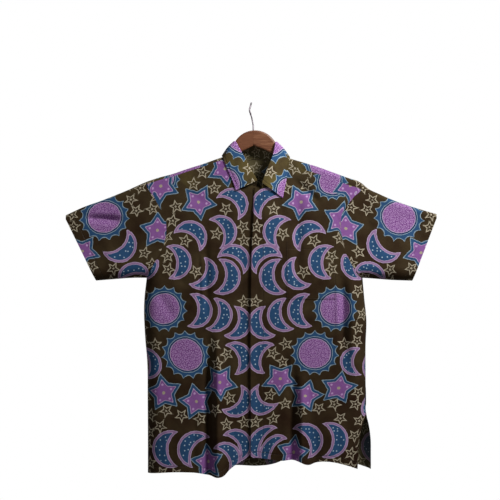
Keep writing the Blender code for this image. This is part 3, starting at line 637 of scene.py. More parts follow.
def folds(x, z, table):
    """Height of the folds at a place, each faded over the first and last third of its length."""
    total = np.zeros(np.broadcast(x, z).shape)
    for x0, z0, x1, z1, height, width in table:
        dx, dz = x1 - x0, z1 - z0
        length = np.hypot(dx, dz)
        along = ((x - x0) * dx + (z - z0) * dz) / length**2
        off = ((x - x0) * dz - (z - z0) * dx) / length
        fade = ease(along / 0.3) * ease((1 - along) / 0.3)
        total = total + height * fade * np.exp(-((off / width) ** 2))
    return total


def depth(x, z, front):
    """How far the cloth stands out from the hanger's plane, at the front or at the back."""
    drop = np.maximum(ridge(x) - z, 0)
    full, fall, table = FRONT_DEPTH, FRONT_FALL, FRONT_FOLDS + FRONT_CREASES
    if not front:
        full, fall, table = BACK_DEPTH, BACK_FALL, BACK_FOLDS + BACK_CREASES
    out = RIDGE_R * rounded(drop / RIDGE_R) + (full - RIDGE_R) * ease(drop / fall)
    out = out + folds(x, z, table) * ease(drop / 60)
    middle = 8.0 if front else 0.0
    neck = np.exp(-(((x - middle) / NECK_SPREAD[front]) ** 2))
    out = out + NECK_FULL * neck * ease((z + 500) / 280)
    return out * rounded((edge_distance(x, z) - SEAM_W) / SIDE_R)


def front_point(x, z, lap=0.0):
    """A point on the front, pushed back by its lap."""
    return np.stack(np.broadcast_arrays(x, -depth(x, z, True) + lap, z), -1)


def over_point(x, w):
    """A point by its height w up the back, on over the ridge and down the front."""
    x, w = np.broadcast_arrays(np.asarray(x, float), np.asarray(w, float))
    low = ridge(x) - RIDGE_R
    turn = np.clip((w - low) / RIDGE_R, 0, pi)
    z = np.where(w < low, w, low + RIDGE_R * np.sin(turn))
    past = w - (low + pi * RIDGE_R)
    z = np.where(past > 0, low - past, z)
    y = np.where(turn < pi / 2, depth(x, z, False), -depth(x, z, True))
    arc = (w > low) & (past < 0)
    shut = rounded((edge_distance(x, z) - SEAM_W) / SIDE_R)
    y = np.where(arc, RIDGE_R * np.cos(turn) * shut, y)
    return np.stack([x, y, z], -1)


def seam_height(x, side):
    """Height w of the shoulder seam, which lies on the front just below the ridge."""
    drop = SEAM_DROP[side]
    low = ridge(x) - RIDGE_R
    if drop < RIDGE_R:
        return low + RIDGE_R * (pi - np.arcsin(1 - drop / RIDGE_R))
    return low + pi * RIDGE_R + drop - RIDGE_R


def side_x(z, side, column):
    """Edge of a front (column 1) or of the back (column 2): the side seam, then the armhole."""
    z = np.asarray(z, float)
    return np.where(z > UNDERARM_Z, curve(ARMHOLE[side], z, column), curve(SIDE[side], z, column))


# ---- Fronts -----------------------------------------------------------------------------------
# Two pieces cut to mirror each other's print. The wearer's left lies on top and hides the buttons
# under its edge; the row of stitches 34 mm in holds the fly. Both hems are turned up 15 mm.

# Spacing of rows and columns of cloth, and the line about which the print is mirrored
PITCH = 2.5
AXIS_X = -12.5
# How far the closing pushes the front below it back; height and width of the bulge in its free
# edge, and what the edge keeps clear of the front below
LAP, EDGE_LIFT, EDGE_W, EDGE_GAP = 4.8, 3.5, 22, 2.2
# Where that push begins, and the width over which it grows
LAP_X, LAP_W = -62, 34
# Depth of the hem, and what its turned-up cloth adds behind it
HEM, HEM_THICK = 15.0, 1.0
# The fly's row of stitches, then the fronts' hem: x, z
FLY_LINE = 22.0
FRONT_HEM = ((-277, -944), (-182, -940), (-140, -943), (-114, -949), (-94, -953), (-79, -949),
             (-64, -933), (-30, -911), (-10, -904), (30, -906), (71, -911), (89, -909),
             (108, -912), (139, -921), (152, -916), (185, -913), (223, -920), (262, -932))
# Neck seam, from the front middle to the shoulder seam: x, z
NECK = {"left": ((3, -213), (-19, -204), (-39, -189), (-55, -171), (-68, -154), (-76.5, None)),
        "right": ((17, -219), (35, -207), (51, -192), (65, -176), (73.5, -165), (79.5, None))}
# Top corner of each front at the closing: x, z. Its free edge from the hem up: z, x
TOP_EDGE = {"left": (22, -216), "right": (-3, -217)}
CLOSING = {"left": ((-980, 22), (-216, 22)), "right": ((-980, -12), (-420, -11), (-217, -3))}


def normals_of(grid, closed=False):
    """Unit normals at a grid's points; closed means that its columns run right round."""
    wide = np.concatenate([grid[:, -1:], grid, grid[:, :1]], 1) if closed else grid
    rows, columns = np.gradient(wide, axis=0), np.gradient(wide, axis=1)
    normal = np.cross(rows, columns)
    normal = normal[:, 1:-1] if closed else normal
    return normal / np.maximum(np.linalg.norm(normal, axis=-1, keepdims=True), 1e-9)


def thin_cloth(name, grid, cut, out_side, layout, stitch, wall=0.6, hem=None, closed=False):
    """A sheet of printed cloth as a thin closed shell. out_side is 1 if the grid's normals face
    out of the garment and -1 if they face in; stitch is the distance from the nearest sewn line,
    and below zero hem is where the cloth is turned up behind itself."""
    rows, columns = grid.shape[:2]
    normal = normals_of(grid, closed) * out_side
    count = rows * columns
    behind = wall / 2 + (0.0 if hem is None else HEM_THICK * ease(0.7 - hem[..., None] / 3))
    points = np.concatenate([(grid + normal * wall / 2).reshape(-1, 3),
                             (grid - normal * behind).reshape(-1, 3)])
    points[:, 0] += HANG_X
    wide = columns if closed else columns - 1
    i, j = np.meshgrid(np.arange(rows - 1), np.arange(wide), indexing="ij")
    a, b = i * columns + j, (i + 1) * columns + j
    c, d = (i + 1) * columns + (j + 1) % columns, i * columns + (j + 1) % columns
    outer = np.stack([a, b, c, d], -1).reshape(-1, 4)[:, ::int(out_side)]
    faces = [outer, outer[:, ::-1] + count]
    rims = [np.arange(columns)[:wide + 1], (rows - 1) * columns + np.arange(columns)[::-1]]
    if closed:
        rims = [np.append(rims[0], 0), np.append(rims[1], rims[1][0])]
    else:
        rims += [np.arange(rows)[::-1] * columns, np.arange(rows) * columns + columns - 1]
    for rim in rims:
        ring = np.stack([rim[1:], rim[:-1], rim[:-1] + count, rim[1:] + count], -1)
        faces.append(ring[:, ::-int(out_side)])
    faces = np.concatenate(faces)
    mesh = bpy.data.meshes.new(name)
    mesh.vertices.add(len(points))
    mesh.vertices.foreach_set("co", (points * 0.001).ravel())
    mesh.loops.add(faces.size)
    mesh.loops.foreach_set("vertex_index", faces.ravel())
    mesh.polygons.add(len(faces))
    mesh.polygons.foreach_set("loop_start", np.arange(len(faces)) * 4)
    mesh.update(calc_edges=True)
    mesh.shade_smooth()
    mesh.set_sharp_from_angle(angle=radians(60))
    mesh.materials.append(batik)
    values = print_fields(cut[..., 0], cut[..., 1], layout)
    values["stitch"] = np.clip(stitch, -FAR, FAR)
    values = {field: np.tile(value.reshape(-1), 2) for field, value in values.items()}
    values["inside"] = np.repeat([0.0, 1.0], count)
    # Doubled cloth is marked so that the shader can paint light onto it.
    values["doubled"] = np.full(2 * count, float(wall > 1))
    for field, value in values.items():
        mesh.attributes.new(field, "FLOAT", "POINT").data.foreach_set("value", value)
    places = little_places(cut[..., 0], cut[..., 1], layout)
    for field, flat in (("cut", cut * 0.001), ("little_place", places)):
        flat = np.concatenate([flat, np.zeros(flat.shape[:2] + (1,))], -1).reshape(-1, 3)
        data = mesh.attributes.new(field, "FLOAT_VECTOR", "POINT").data
        data.foreach_set("vector", np.tile(flat, (2, 1)).ravel())
    return placed(name, mesh)


def cut_places(grid, x_start, z_start):
    """A grid's flat coordinates: run along each row and each column, from a place on the print.
    Along the rows only half the depth of a fold counts, so that folds don't drag the print in."""
    def run(axis, across, share):
        step = np.diff(grid, axis=axis)
        length = np.hypot(step[..., across], share * step[..., 1]) * np.sign(step[..., across])
        total = np.cumsum(length, axis=axis)
        start = np.zeros_like(np.take(total, [0], axis=axis))
        return np.concatenate([start, total], axis=axis)

    u, v = run(0, 0, 0.5), run(1, 2, 1.0)
    u = u - np.take(u, [x_start[0]], axis=0) + x_start[1]
    v = v - np.take(v, [z_start[0]], axis=1) + z_start[1]
    return np.stack([u, v], -1)


def round_steps(count=13):
    """Places in from an edge, closer where the cloth turns under."""
    return SIDE_R * (1 - np.cos(np.linspace(0, pi / 2, count)))


def between(start, end, pitch):
    """Evenly spaced places after start up to end, about a pitch apart."""
    count = max(int(round(abs(end - start) / pitch)), 1)
    return start + (end - start) * np.arange(1, count + 1) / count


def nearest(*lines):
    """Of several distances, the one nearest to zero at each point."""
    stack = np.stack(np.broadcast_arrays(*lines))
    index = np.argmin(np.abs(stack), axis=0)
    return np.take_along_axis(stack, index[None], axis=0)[0]


def under_lap(x):
    """How far the wearer's right front is pushed back where the left one lies over it."""
    return LAP * ease((x - LAP_X) / LAP_W)


def seam_z(x, side):
    """Height z of the shoulder seam."""
    return over_point(x, seam_height(x, side))[..., 2]


def settled(hem, table, across):
    """Heights of a hem along a table, found in a few rounds, because its sides lean."""
    for _ in range(5):
        hem = curve(table, across(hem))
    return hem


def front_grid(side):
    """Columns from the armhole to the closing edge, rows from the hem up."""
    sign = 1 if side == "left" else -1
    end, top_x, neck_x = ARMHOLE[side][0][1], TOP_EDGE[side][0], NECK[side][-1][0]
    xs = end + sign * round_steps()
    xs = np.concatenate([xs, between(xs[-1], neck_x, PITCH)])
    xs = np.concatenate([xs, between(neck_x, top_x, PITCH)])
    neck = [(x, float(seam_z(x, side)) if z is None else z) for x, z in NECK[side]]
    neck.append(TOP_EDGE[side])
    on_seam = sign * (neck_x - xs) >= 0
    zs = np.where(on_seam, seam_z(xs, side), curve(neck, xs))
    edge, middle = side_x(zs, side, 1), curve(CLOSING[side], zs)
    edge[0] = end
    share = ((xs - edge) / (middle - edge))[:, None]

    def across(z):
        return side_x(z, side, 1) * (1 - share) + curve(CLOSING[side], z) * share

    hem = settled(np.full(share.shape, -920.0), FRONT_HEM, across)
    low = float(hem[0, 0])
    rows = np.concatenate([[low], between(low, zs[0], PITCH)])
    t = ((rows - low) / (rows[-1] - low))[None, :]
    z = hem + (zs[:, None] - hem) * t
    x = across(z)
    lap = under_lap(x)
    if side == "right":
        # The free edge of the closing bulges, then comes down steeply on the front below it.
        lift, out = EDGE_LIFT * ease((-z - 235) / 60), x - curve(CLOSING[side], z)
        lap = -lift * ease(1 - out / EDGE_W) + (LAP - EDGE_GAP + lift) * ease(1 - out / PITCH)
    return front_point(x, z, lap)


def lift_print(cut):
    """The wearer's left front hangs a little higher towards its side, print and all."""
    out = np.abs(cut[..., 0])
    cut = cut.copy()
    cut[..., 1] -= 24 * ease(out / 90) * ease((-cut[..., 1] - 560) / 330)
    return cut


fronts = {}
for side, node in (("left", "front_right"), ("right", "front_left")):
    grid = front_grid(side)
    middle = int(np.argmin(np.abs(grid[0, :, 2] + 500)))
    cut = cut_places(grid, (-1, grid[-1:, :, 0] - AXIS_X),
                     (middle, grid[:, middle:middle + 1, 2]))
    shown = lift_print(cut) if side == "right" else cut
    hem_line = cut[..., 1] - cut[:, :1, 1] - HEM
    fly = cut[..., 0] - (FLY_LINE - AXIS_X) if side == "right" else FAR
    fronts[side] = {"grid": grid, "cut": shown, "hem": hem_line, "flat": cut}
    moons, suns, stars = MOONS, SUNS, STARS
    if side == "right":
        moons += ((330, -680, 0, 0.95), (332, -795, 0, 0.95))
        suns = SUNS[:2] + ((212, -196, 0.84),)
        stars = STARS[:5] + ((257, -208, 50), STARS[6], (234, -295, 28))
    front_print = print_layout(7, (14, -960), (300, -150), moons, suns, stars,
                               halves=(-1,) if side == "left" else (1,))
    piece = thin_cloth(node + "_cloth", grid, shown, 1 if side == "left" else -1, front_print,
                       nearest(hem_line, fly), hem=hem_line)
    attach(piece, "root")
    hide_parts(node)

# ---- Back -------------------------------------------------------------------------------------
# One piece, cut over both shoulders to seams just below the ridge on the front. Its lower right
# corner hangs free beside the open vent. The hem is turned up 15 mm.

BACK_HEM = ((-277, -944), (-180, -936), (-100, -931), (-48, -928), (13, -930), (38, -927),
            (59, -921), (79, -911), (99, -904), (150, -901), (223, -910), (260, -924),
            (298, -935))
# Neck seam on the back piece, from the shoulder seam to the middle: x, w below the ridge line
NECK_BACK = {"left": ((-75.3, 2.3), (-73.4, 1.6), (-71, 0.95), (-67.5, 0.3), (-60, -1.5),
                      (-45, -4.0), (-24, -10.0)),
             "right": ((78.2, 2.9), (76.3, 2.1), (73.8, 1.25), (70, 0.4), (61, -1.0),
                       (46, -3.5), (24, -9.0))}
NECK_MIDDLE = (0, -142.0)
BACK_PITCH = 3.4
# Row at which each column's height on the print is its own height
LEVEL_ROW = 100


def run_along(points, axis, share=1.0):
    """Length run along one axis of a grid from its start. Steps may count by a share only."""
    step = np.linalg.norm(np.diff(points, axis=axis) * share, axis=-1)
    start = np.zeros_like(np.take(step, [0], axis=axis))
    return np.concatenate([start, np.cumsum(step, axis=axis)], axis=axis)


def neck_back_line(side):
    """The back's neck seam as x and height w."""
    line = [(NECK[side][-1][0], float(seam_height(NECK[side][-1][0], side)))]
    for x, turn in NECK_BACK[side]:
        low = float(ridge(x)) - RIDGE_R
        line.append((x, low + (RIDGE_R * turn if turn > 0 else turn)))
    return line


def back_grid():
    """Columns from the left armhole to the right one, rows from the hem up and over."""
    left, right = neck_back_line("left"), neck_back_line("right")
    neck = np.array(left + [NECK_MIDDLE] + right[::-1])
    ends = [ARMHOLE[side][0][1] for side in ("left", "right")]
    xs = [ends[0] + round_steps()]
    xs.append(between(xs[0][-1], neck[0, 0], BACK_PITCH))
    for (x0, w0), (x1, w1) in zip(neck[:-1], neck[1:]):
        xs.append(between(x0, x1, BACK_PITCH if abs(w1 - w0) < 12 else 0.8))
    last = ends[1] - round_steps()[::-1]
    xs += [between(neck[-1, 0], last[0], BACK_PITCH), last[1:]]
    xs = np.concatenate(xs)
    w_top = np.interp(xs, neck[:, 0], neck[:, 1])
    w_top = np.where(xs < neck[0, 0], seam_height(xs, "left"), w_top)
    w_top = np.where(xs > neck[-1, 0], seam_height(xs, "right"), w_top)
    share = ((xs - ends[0]) / (ends[1] - ends[0]))[:, None]
    low = ridge(xs) - RIDGE_R
    start = np.minimum(low, w_top - 14.0)[:, None]

    def across(z):
        return side_x(z, "left", 2) * (1 - share) + side_x(z, "right", 2) * share

    hem = settled(np.full(share.shape, -925.0), BACK_HEM, across)
    t = np.linspace(0, 1, int(700 / BACK_PITCH))[None, :]
    z = hem + (start - hem) * t
    over = np.linspace(0, 1, 15)[None, 1:]
    w = start + (w_top[:, None] - start) * over
    x = np.concatenate([across(z), np.repeat(xs[:, None], w.shape[1], 1)], 1)
    w = np.concatenate([z, w], 1)
    return over_point(x, w), w


grid, heights = back_grid()
middle = int(np.argmin(np.abs(grid[:, 0, 0])))
level = heights[:, LEVEL_ROW:LEVEL_ROW + 1]
cut = cut_places(grid, (middle, grid[middle:middle + 1, :, 0]), (LEVEL_ROW, level))
risen = run_along(grid, 1)
cut[..., 1] = risen + (level - risen[:, LEVEL_ROW:LEVEL_ROW + 1])
hem_line = risen - HEM
back_print = print_layout(11, (16, -960), (330, -110), MOONS + ((318, -880, 0, 1.0),),
                          SUNS[:2] + ((183, -150, 1.0),))
back_print["little"] += [(4, -163, 20), (17, -194, 50), (-24, -184, 5), (14, -926, 30),
                         (-22, -924, 60), (52, -928, 10)]
back = thin_cloth("back_cloth", grid, cut, -1, back_print, hem_line, hem=hem_line)
back_sheet = {"grid": grid, "hem": hem_line}
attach(back, "root")
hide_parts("back")

# ---- Sleeves ----------------------------------------------------------------------------------
# Short, set into the armholes flat and closed under the arm. The hems are turned up 22 mm. They
# hang flat from the ends of the hanger's arms, so front and back nearly touch at the cuffs.

# Hem of each sleeve: x under the arm and on the ridge
CUFF = {"left": (-406, -483.5), "right": (402, 464)}
CUFF_HEM = 22.0
# Share of a flat's depth that counts along the print, and the print's place on the left sleeve
FLAT_SHARE, SLEEVE_SHIFT = 0.35, 8.0


def sleeve_grid(side):
    """Rows from the armhole to the hem, columns round: up the back, over, down the front."""
    under_x, top_x = CUFF[side]
    start_x, base_x = ARMHOLE[side][0][1], UNDER[side][-1][0]
    low = float(ridge(start_x)) - RIDGE_R
    rise = np.concatenate([round_steps(), between(SIDE_R, low - UNDERARM_Z, PITCH)])
    over = np.linspace(0, 1, 12)[1:-1]
    zone = np.concatenate([np.zeros(len(rise)), np.ones(len(over)), np.full(len(rise) - 1, 2)])
    share = np.concatenate([rise / rise[-1], over, (rise / rise[-1])[:0:-1]])
    z_arm = UNDERARM_Z + rise
    x_arm = np.concatenate([side_x(z_arm, side, 2), np.full(len(over), start_x),
                            side_x(z_arm, side, 1)[:0:-1]])
    up = np.where(zone == 1, 1.0, share)
    bow = x_arm - (base_x + (start_x - base_x) * up)
    step = np.linspace(0, 1, 66)[:, None]
    x_top = start_x + (top_x - start_x) * step
    x_under = base_x + (under_x - base_x) * step
    z_under = curve(UNDER[side], x_under)
    x = x_under + (x_top - x_under) * up + bow * (1 - step) ** 1.5
    low = ridge(x_top) - RIDGE_R
    z = z_under + (low - z_under) * share
    wrap = over_point(x, ridge(x) - RIDGE_R + share * pi * RIDGE_R)
    flat = np.where((zone == 0)[None, :, None], over_point(x, z), front_point(x, z))
    return np.where((zone == 1)[None, :, None], wrap, flat), zone


SLEEVE_MOONS = ((334, -375, -47, 1.04), (298, -459, 90, 0.9), (352, -62, 35, 1.0),
                (512, -112, 150, 1.0))
SLEEVE_SUNS = ((372, -299, 1.05), (436, -142, 1.0))
SLEEVE_STARS = ((236, -341, 90), (428, -392, 56), (326, -152, 80), (506, -222, 40),
                (436, -30, 66))
sleeve_print = print_layout(23, (215, -500), (590, 40), SLEEVE_MOONS, SLEEVE_SUNS, SLEEVE_STARS)
sleeves = {}
for side, node in (("left", "sleeve_right"), ("right", "sleeve_left")):
    grid, zone = sleeve_grid(side)
    wide = np.concatenate([grid, grid[:, :1]], 1)
    flat_part = (np.append(zone, zone[0])[1:] != 1) & (zone != 1)
    total = run_along(wide, 1, np.where(flat_part[:, None], (1, FLAT_SHARE, 1), 1))[:, :-1]
    crest = int(np.flatnonzero(zone == 1)[5])
    v = total[:, crest:crest + 1] - total + ridge(grid[:, crest:crest + 1, 0])
    # The back is the front's cloth turned over the ridge, so its print runs on outwards there.
    u = np.where(zone == 0, 2 * grid[:, crest:crest + 1, 0] - grid[..., 0], grid[..., 0])
    cut = np.stack([u - AXIS_X - (SLEEVE_SHIFT if side == "right" else 0.0), v], -1)
    hem_line = run_along(grid[::-1], 0)[::-1] - CUFF_HEM
    piece = thin_cloth(node + "_cloth", grid, cut, 1 if side == "left" else -1, sleeve_print,
                       hem_line, hem=hem_line, closed=True)
    sleeves[side] = {"grid": grid, "hem": hem_line}
    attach(piece, "root")
    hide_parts(node)

# ---- Collar -----------------------------------------------------------------------------------
# A stand sewn to the neck seam, and a pointed leaf of doubled cloth folded down over it and
# stitched 6 mm inside its edge. It stays open in a V above the top button.

# Fold of the collar, then the leaf's edge from its point, front middle to back: x, y, z.
# A y of None means that the leaf lies on the front.
FOLD = {"left": ((5, -26, -198), (-8, -25, -176), (-20, -23, -154), (-33, -20, -130),
                 (-44, -15, -110), (-50, -9.5, -99.5), (-52, -6, -98.6), (-53, -2, -98.4),
                 (-53.5, 2.5, -98.4), (-53, 8, -98.6), (-49.5, 14, -98.8), (-40, 20, -99),
                 (-22, 24.8, -99.6)),
        "right": ((18, -30, -204), (27, -28, -181), (36, -25, -158), (45, -21, -137),
                  (50, -16, -117), (52, -10, -102.5), (53.6, -6, -100.6), (54.8, -2, -99.8),
                  (55.3, 2.5, -99.6), (54.8, 8, -99.6), (51, 14, -99.5), (41, 20, -99.6),
                  (22, 24.8, -99.6))}
FOLD_MIDDLE = (0, 26.5, -100)
LEAF = {"left": ((-48, None, -222), (-54, None, -206), (-60, None, -191), (-68, None, -173),
                 (-75, None, -156), (-80.5, None, -142), (-83.3, -4.5, -135.6),
                 (-84.5, -0.5, -134.2), (-84.8, 4, -134.5), (-83, 11, -136.5), (-76, 20, -140),
                 (-60, 28, -143.5), (-32, 35, -147)),
        "right": ((71, None, -242), (75, None, -222), (79, None, -202), (83, None, -180),
                  (86.5, None, -161), (88, None, -146), (88.9, -4.5, -139.3),
                  (89.3, -0.5, -138), (89.3, 4, -138), (86.5, 11, -139.5), (79, 20, -142),
                  (62, 28, -144.5), (33, 35, -147))}
LEAF_MIDDLE = (0, 38, -148.5)
# How far the leaf's edge stands off the front
LEAF_LIFT = 3.0
# Share of the way from the fold to the leaf's edge, and how far it stands off the straight line
LEAF_STAND_OFF = ((0.0, 1.7), (0.12, 2.6), (0.4, 3.4), (0.7, 2.2), (1.0, 0.0))
# Points of a smooth ring for each one given
RING_STEPS = 9
# Where the stand starts above the neck seam, how much shorter it is than the way from the seam
# to the fold, and how far above its lower edge it is stitched
STAND_START, STAND_SHORT, STAND_INSET = 0.8, 2.4, 3.0
# Radius of the leaf's fold, and how far in from its edge it is stitched
FOLD_R, LEAF_INSET = 1.3, 6.0


def neck_points():
    """Neck seam round from the right front's end to the left front's."""
    points = {}
    for side in ("left", "right"):
        line = []
        for x, z in NECK[side]:
            z = float(seam_z(x, side)) if z is None else z
            lap = under_lap(x) if side == "left" else 0.0
            line.append(front_point(x, z, lap))
        line += [over_point(x, w) for x, w in neck_back_line(side)[1:]]
        points[side] = line
    return np.array(points["left"] + [over_point(*NECK_MIDDLE)] + points["right"][::-1])


def ring_of(table, middle, lift):
    """A table's points round the neck, from one end to the other through the middle."""
    points = {}
    for side in ("left", "right"):
        points[side] = [(x, -float(depth(x, z, True)) - lift if y is None else y, z)
                        for x, y, z in table[side]]
    return np.array(points["left"] + [middle] + points["right"][::-1], float)


def smooth_ring(points):
    """Many points on a smooth curve through a ring's few."""
    ends = np.concatenate([2 * points[:1] - points[1:2], points, 2 * points[-1:] - points[-2:-1]])
    t = np.arange((len(points) - 1) * RING_STEPS + 1) / RING_STEPS
    k = np.minimum(t.astype(int), len(points) - 2)
    f = (t - k)[:, None]
    a, b, c, d = ends[k], ends[k + 1], ends[k + 2], ends[k + 3]
    return b + 0.5 * f * (c - a + f * (2 * a - 5 * b + 4 * c - d + f * (3 * (b - c) + d - a)))


low_ring = smooth_ring(neck_points())
top_ring = smooth_ring(ring_of(FOLD, FOLD_MIDDLE, 0))
edge_ring = smooth_ring(ring_of(LEAF, LEAF_MIDDLE, LEAF_LIFT))
up = top_ring - low_ring
height = np.linalg.norm(up, axis=-1, keepdims=True)
up = up / height
outward = unit(np.cross(up, np.gradient(top_ring, axis=0)))
if outward[0, 1] > 0:
    outward = -outward
round_run = run_along(edge_ring, 0)
round_run = round_run - round_run[-1] / 2

steps = np.linspace(0, 1, 14)[:, None, None]
grid = low_ring + up * STAND_START + (up * (height - STAND_SHORT)) * steps
rise = np.linalg.norm(grid - grid[:1], axis=-1)
cut = np.stack([np.broadcast_to(round_run, rise.shape), -190 + rise], -1)
plain = {"moon": [], "sun": [], "star": [],
         "little": [(x, -172, t) for x, t in zip(range(-230, 240, 38), range(0, 700, 53))]}
stand = thin_cloth("collar_stand_cloth", grid, cut, 1, plain, rise - STAND_INSET)
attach(stand, "root")
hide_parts("collar_stand")

# Rows of the leaf: out of the fold in a small round, then down to the edge
rows = []
for a in np.linspace(-pi / 2, pi / 2, 7)[:-1]:
    rows.append(top_ring + up * FOLD_R * cos(a) + outward * (0.4 + FOLD_R * sin(a)))
for step in np.linspace(0, 1, 26):
    rows.append(top_ring + (edge_ring - top_ring) * step
                + outward * float(curve(LEAF_STAND_OFF, step)))
grid = np.array(rows)
down = run_along(grid, 0)
fold_run = np.cumsum(np.linalg.norm(np.gradient(top_ring, axis=0), axis=1))
along = ((grid - top_ring) * unit(np.gradient(top_ring, axis=0))).sum(-1)
cut = np.stack([fold_run - fold_run.mean() + along,
                -np.sqrt(np.maximum(down**2 - along**2, 0))], -1)
end_gap = np.minimum(round_run - round_run[0], round_run[-1] - round_run)
edge_line = nearest(down[-1:] - down - LEAF_INSET, end_gap - LEAF_INSET + np.zeros(down.shape))
LEAF_SUNS = ((-160, -81, 0.97), (-76, 24, 1.08), (0, -48, 0.8), (183, -84, 0.97), (71, 17, 1.12))
leaf_print = print_layout(5, (-200, -75), (210, 5), (), LEAF_SUNS, (), halves=(1,))
leaf = thin_cloth("collar_leaf_cloth", grid, cut, -1, leaf_print, edge_line, wall=1.1)
leaf_sheet = {"grid": grid, "edge": down[-1:] - down, "end": np.broadcast_to(end_gap, down.shape)}
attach(leaf, "root")
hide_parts("collar_leaf")

# ---- Chest pocket -----------------------------------------------------------------------------
# A patch on the wearer's left, cut so that its print runs on from the front's. Its mouth has a
# 20 mm hem and its other three sides are stitched 2 mm in.

POCKET_X, POCKET_Z = (80.0, 205.0), (-500.0, -353.0)
POCKET_LIFT, POCKET_INSET, POCKET_HEM = 1.2, 2.0, 20.0
xs, zs = np.linspace(*POCKET_X, 48)[:, None], np.linspace(*POCKET_Z, 56)[None, :]
grid = front_point(xs, zs)
under = fronts["right"]["grid"].reshape(-1, 3)
flat = fronts["right"]["cut"].reshape(-1, 2)
# Only the part of the front behind the pocket and just round it is searched.
close = (np.abs(under[:, 0] - 142) < 80) & (np.abs(under[:, 2] + 426) < 90)
under, flat = under[close], flat[close]
here = grid.reshape(-1, 3)
index = np.argmin(((here[:, None, ::2] - under[None, :, ::2]) ** 2).sum(-1), axis=1)
cut = (flat[index] + here[:, ::2] - under[index][:, ::2]).reshape(grid.shape[:2] + (2,))
grid[..., 1] -= POCKET_LIFT
wide, high = np.broadcast_arrays(xs, zs)
pocket_lines = {"left": wide - POCKET_X[0] - POCKET_INSET,
                "right": POCKET_X[1] - wide - POCKET_INSET,
                "bottom": high - POCKET_Z[0] - POCKET_INSET,
                "mouth": POCKET_Z[1] - high - POCKET_HEM}
edges = nearest(np.minimum(pocket_lines["left"], pocket_lines["right"]),
                pocket_lines["bottom"], pocket_lines["mouth"])
pocket = thin_cloth("pocket_cloth", grid, cut, 1, front_print, edges)
pocket_grid = grid
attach(pocket, "root")
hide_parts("pocket")

# ---- Stitching --------------------------------------------------------------------------------
# Brown polyester thread in lock stitches 2.8 mm apart: round the hems and cuffs, down the fly,
# round the collar leaf and round the pocket.

THREAD_LENGTH, THREAD_PITCH, THREAD_R = 2.2, 2.8, 0.24
# Middle of a stitch above its sheet's middle, on plain cloth and on the doubled leaf
LIFT_OFF, LEAF_LIFT_OFF = 0.42, 0.66


def sewn_run(grid, field, axis, out_side, closed=False, lift=LIFT_OFF):
    """Points on a grid's outer face where a field passes zero along one of its axes."""
    normal = normals_of(grid, closed) * out_side
    places, ways, values = (np.moveaxis(a, axis, 0) for a in (grid, normal, field))
    passes = (values[:-1] > 0) != (values[1:] > 0)
    lane = np.flatnonzero(passes.any(0))
    first = passes.argmax(0)[lane]
    share = (values[first, lane] / (values[first, lane] - values[first + 1, lane]))[:, None]
    run = places[first, lane] * (1 - share) + places[first + 1, lane] * share
    run = run + ways[first, lane] * lift
    return np.concatenate([run, run[:1]]) if closed else run


thread = mottled("brown_polyester_thread", 2500.0, ((0.35, "#2A1F15"), (0.65, "#43362A")), 0.6)[0]

# Node tree that lays one stitch at each step along a line
sewing = bpy.data.node_groups.new("lock_stitches", "GeometryNodeTree")
for label, kind in (("Geometry", "Geometry"), ("Pitch", "Float"), ("Length", "Float"),
                    ("Radius", "Float"), ("Seed", "Int"), ("Thread", "Material")):
    sewing.interface.new_socket(label, in_out="INPUT", socket_type="NodeSocket" + kind)
sewing.interface.new_socket("Geometry", in_out="OUTPUT", socket_type="NodeSocketGeometry")
given = sewing.nodes.new("NodeGroupInput").outputs
line = add(sewing, "GeometryNodeMeshToCurve", {"Mesh": given["Geometry"]}).outputs[0]
steps = add(sewing, "GeometryNodeResampleCurve", {"Curve": line, "Length": given["Pitch"]},
            mode="LENGTH").outputs[0]
bead = add(sewing, "GeometryNodeMeshCylinder", {"Vertices": 6, "Radius": given["Radius"],
                                                "Depth": given["Length"]}).outputs["Mesh"]
tangent = add(sewing, "GeometryNodeInputTangent").outputs[0]
turn = add(sewing, "FunctionNodeAlignRotationToVector", {"Vector": tangent}, axis="Z").outputs[0]
uneven = add(sewing, "FunctionNodeRandomValue", {2: 0.88, 3: 1.06, "Seed": given["Seed"]},
             data_type="FLOAT").outputs[1]
laid = add(sewing, "GeometryNodeInstanceOnPoints",
           {"Points": steps, "Instance": bead, "Rotation": turn, "Scale": uneven}).outputs[0]
whole = add(sewing, "GeometryNodeRealizeInstances", {"Geometry": laid}).outputs[0]
coloured = add(sewing, "GeometryNodeSetMaterial",
               {"Geometry": whole, "Material": given["Thread"]}).outputs[0]
sewing.links.new(coloured, sewing.nodes.new("NodeGroupOutput").inputs[0])


def stitch_lines(name, runs, seed):
    """One mesh of stitches along lines of points."""
    points = np.concatenate(runs) * 0.001
    points[:, 0] += HANG_X * 0.001
    edges, start = [], 0
    for run in runs:
        edges += [(start + k, start + k + 1) for k in range(len(run) - 1)]
        start += len(run)
    mesh = bpy.data.meshes.new(name + "_lines")
    mesh.from_pydata(points.tolist(), edges, [])
    path = placed(name + "_lines", mesh)
    layer = path.modifiers.new("lock_stitches", "NODES")
    layer.node_group = sewing
    values = {"Pitch": THREAD_PITCH * 0.001, "Length": THREAD_LENGTH * 0.001,
              "Radius": THREAD_R * 0.001, "Seed": seed, "Thread": thread}
    for item in sewing.interface.items_tree:
        if item.item_type == "SOCKET" and item.in_out == "INPUT" and item.name in values:
            layer[item.identifier] = values[item.name]
    graph = bpy.context.evaluated_depsgraph_get()
    made = bpy.data.meshes.new_from_object(path.evaluated_get(graph))
    path.modifiers.remove(layer)
    bpy.data.objects.remove(path)
    made.name = name
    made.shade_smooth()
    made.set_sharp_from_angle(angle=radians(50))
    return placed(name, made)


